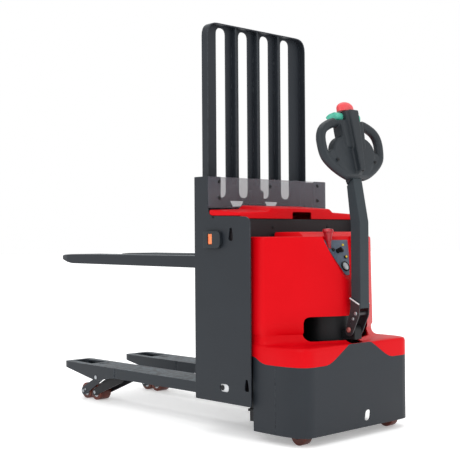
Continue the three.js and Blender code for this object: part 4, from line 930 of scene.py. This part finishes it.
finishPiece(bm, "cheekBolts", "tiller", brightSteel)

# console: knobs, dial ring, two yellow lamps and the cone under the stop button
outward = Vector((164, 0, 74)).normalized()


def onConsole(y, down, lift=0):
    p = pocketSizes
    along = at(p["topX"] + (p["bottomX"] - p["topX"]) * down, y,
               p["topZ"] - (p["topZ"] - p["bottomZ"]) * down)
    return along + outward * (3.4 + lift) / 1000


bm = bmesh.new()
for y, down, size in ((16, 0.32, 9), (24, 0.5, 7), (-40, 0.3, 8)):
    turned(bm, [(0, 7), (size - 2, 7), (size, 5), (size, 0), (0, 0)], onConsole(y, down), outward, 24)
turned(bm, [(19, 0), (22, 0), (22, 7.5), (19, 7.5), (19, 0)], onConsole(0, 0.74), outward, 32)
finishPiece(bm, "consoleKnobs", "chassis", blackSteel)
bm = bmesh.new()
turned(bm, [(0, 9), (4.5, 9), (5.5, 7), (5.5, 0), (0, 0)], onConsole(24, 0.5), outward, 20)
turned(bm, [(0, 5), (4, 5), (5, 3.5), (5, 0), (0, 0)], onConsole(34, 0.18), outward, 20)
finishPiece(bm, "consoleLamps", "chassis", sunYellow)
bm = bmesh.new()
turned(bm, [(13.4, 0), (14.4, 0), (19.5, 34), (19.5, 37), (13.4, 37), (13.4, 0)], at(488, -56, 827),
       (0, 0, 1), 32)
finishPiece(bm, "stopCone", "stop_button", stopRed)

# stitch welds beside the backrest ribs
bm = bmesh.new()
for rib in (-140, 0, 140):
    for z in range(1110, 1790, 142):
        for out in (-1, 1):
            bead = bmesh.ops.create_icosphere(bm, subdivisions=2, radius=0.004)["verts"]
            bmesh.ops.scale(bm, vec=(1, 1, 3.2), verts=bead)
            bmesh.ops.translate(bm, vec=at(-13, rib + out * 4, z), verts=bead)
finishPiece(bm, "ribWelds", "carriage", darkPaint)
print("fittings made")

# wheels

rollerSizes = dict(radius=41, halfWidth=35, edge=4, hub=17, bore=9)
for side, y in (("left", -202), ("right", 202)):
    for place, x in (("front", -1052), ("rear", -966)):
        r = rollerSizes
        bm = bmesh.new()
        half, out, hub, rim = r["halfWidth"], r["radius"], r["hub"], r["hub"] + 9
        turned(bm, [(rim, -half + 1), (out - r["edge"], -half), (out - 1, -half + 1.5),
                    (out, -half + r["edge"]),
                    (out, half - r["edge"]), (out - 1, half - 1.5), (out - r["edge"], half), (rim,
                            half - 1),
                    (rim, -half + 1)], at(x, y, 41), (0, 1, 0), 48)
        finishPiece(bm, f"{place}Tyre{side.capitalize()}", f"{place}_roller_{side}", urethane,
                    [f"{place}_roller_{side}"])
        bm = bmesh.new()
        turned(bm, [(r["bore"], -half + 2), (hub, -half + 1), (hub + 2, -half + 5), (rim - 0.1, -half + 4),
                    (rim - 0.1, half - 4), (hub + 2, half - 5), (hub, half - 1), (r["bore"], half - 2),
                    (r["bore"], -half + 2)], at(x, y, 41), (0, 1, 0), 36)
        finishPiece(bm, f"{place}Hub{side.capitalize()}", f"{place}_roller_{side}", brightSteel)
for side, y in (("left", -285), ("right", 285)):
    bm = copyOf("caster_wheel_" + side)
    softenEdges(bm, 3, segments=3)
    finishPiece(bm, "casterTyre" + side.capitalize(), "caster_wheel_" + side, urethane,
                ["caster_wheel_" + side])
bm = copyOf("drive_wheel")
softenEdges(bm, 5, segments=3)
finishPiece(bm, "driveTyre", "drive_wheel", treadRubber, ["drive_wheel"])
print("wheels made")

# floor and light

bm = bmesh.new()
bmesh.ops.create_grid(bm, x_segments=1, y_segments=1, size=40)
floor = finishPiece(bm, "floor", None, floorFinish)

world = bpy.data.worlds.new("studio")
scene.world = world
world.use_nodes = True
world.node_tree.nodes["Background"].inputs["Color"].default_value = (1, 1, 1, 1)
world.node_tree.nodes["Background"].inputs["Strength"].default_value = 1.0


def addSoftbox(name, spot, aim, size, power):
    lamp = bpy.data.lights.new(name, "AREA")
    lamp.shape = "DISK"
    lamp.size = size
    lamp.energy = power
    holder = bpy.data.objects.new(name, lamp)
    scene.collection.objects.link(holder)
    holder.location = spot
    holder.rotation_euler = (Vector(aim) - Vector(spot)).to_track_quat("-Z", "Y").to_euler()


addSoftbox("keyLight", (2.2, -4.2, 3.4), (0.3, 0, 0.8), 2.5, 55)
addSoftbox("sideLight", (4.6, 1.2, 2.4), (0.5, 0, 0.7), 2.5, 30)
addSoftbox("topLight", (-0.4, 0.2, 5.0), (0, 0, 0.5), 3.5, 60)
print("light set")
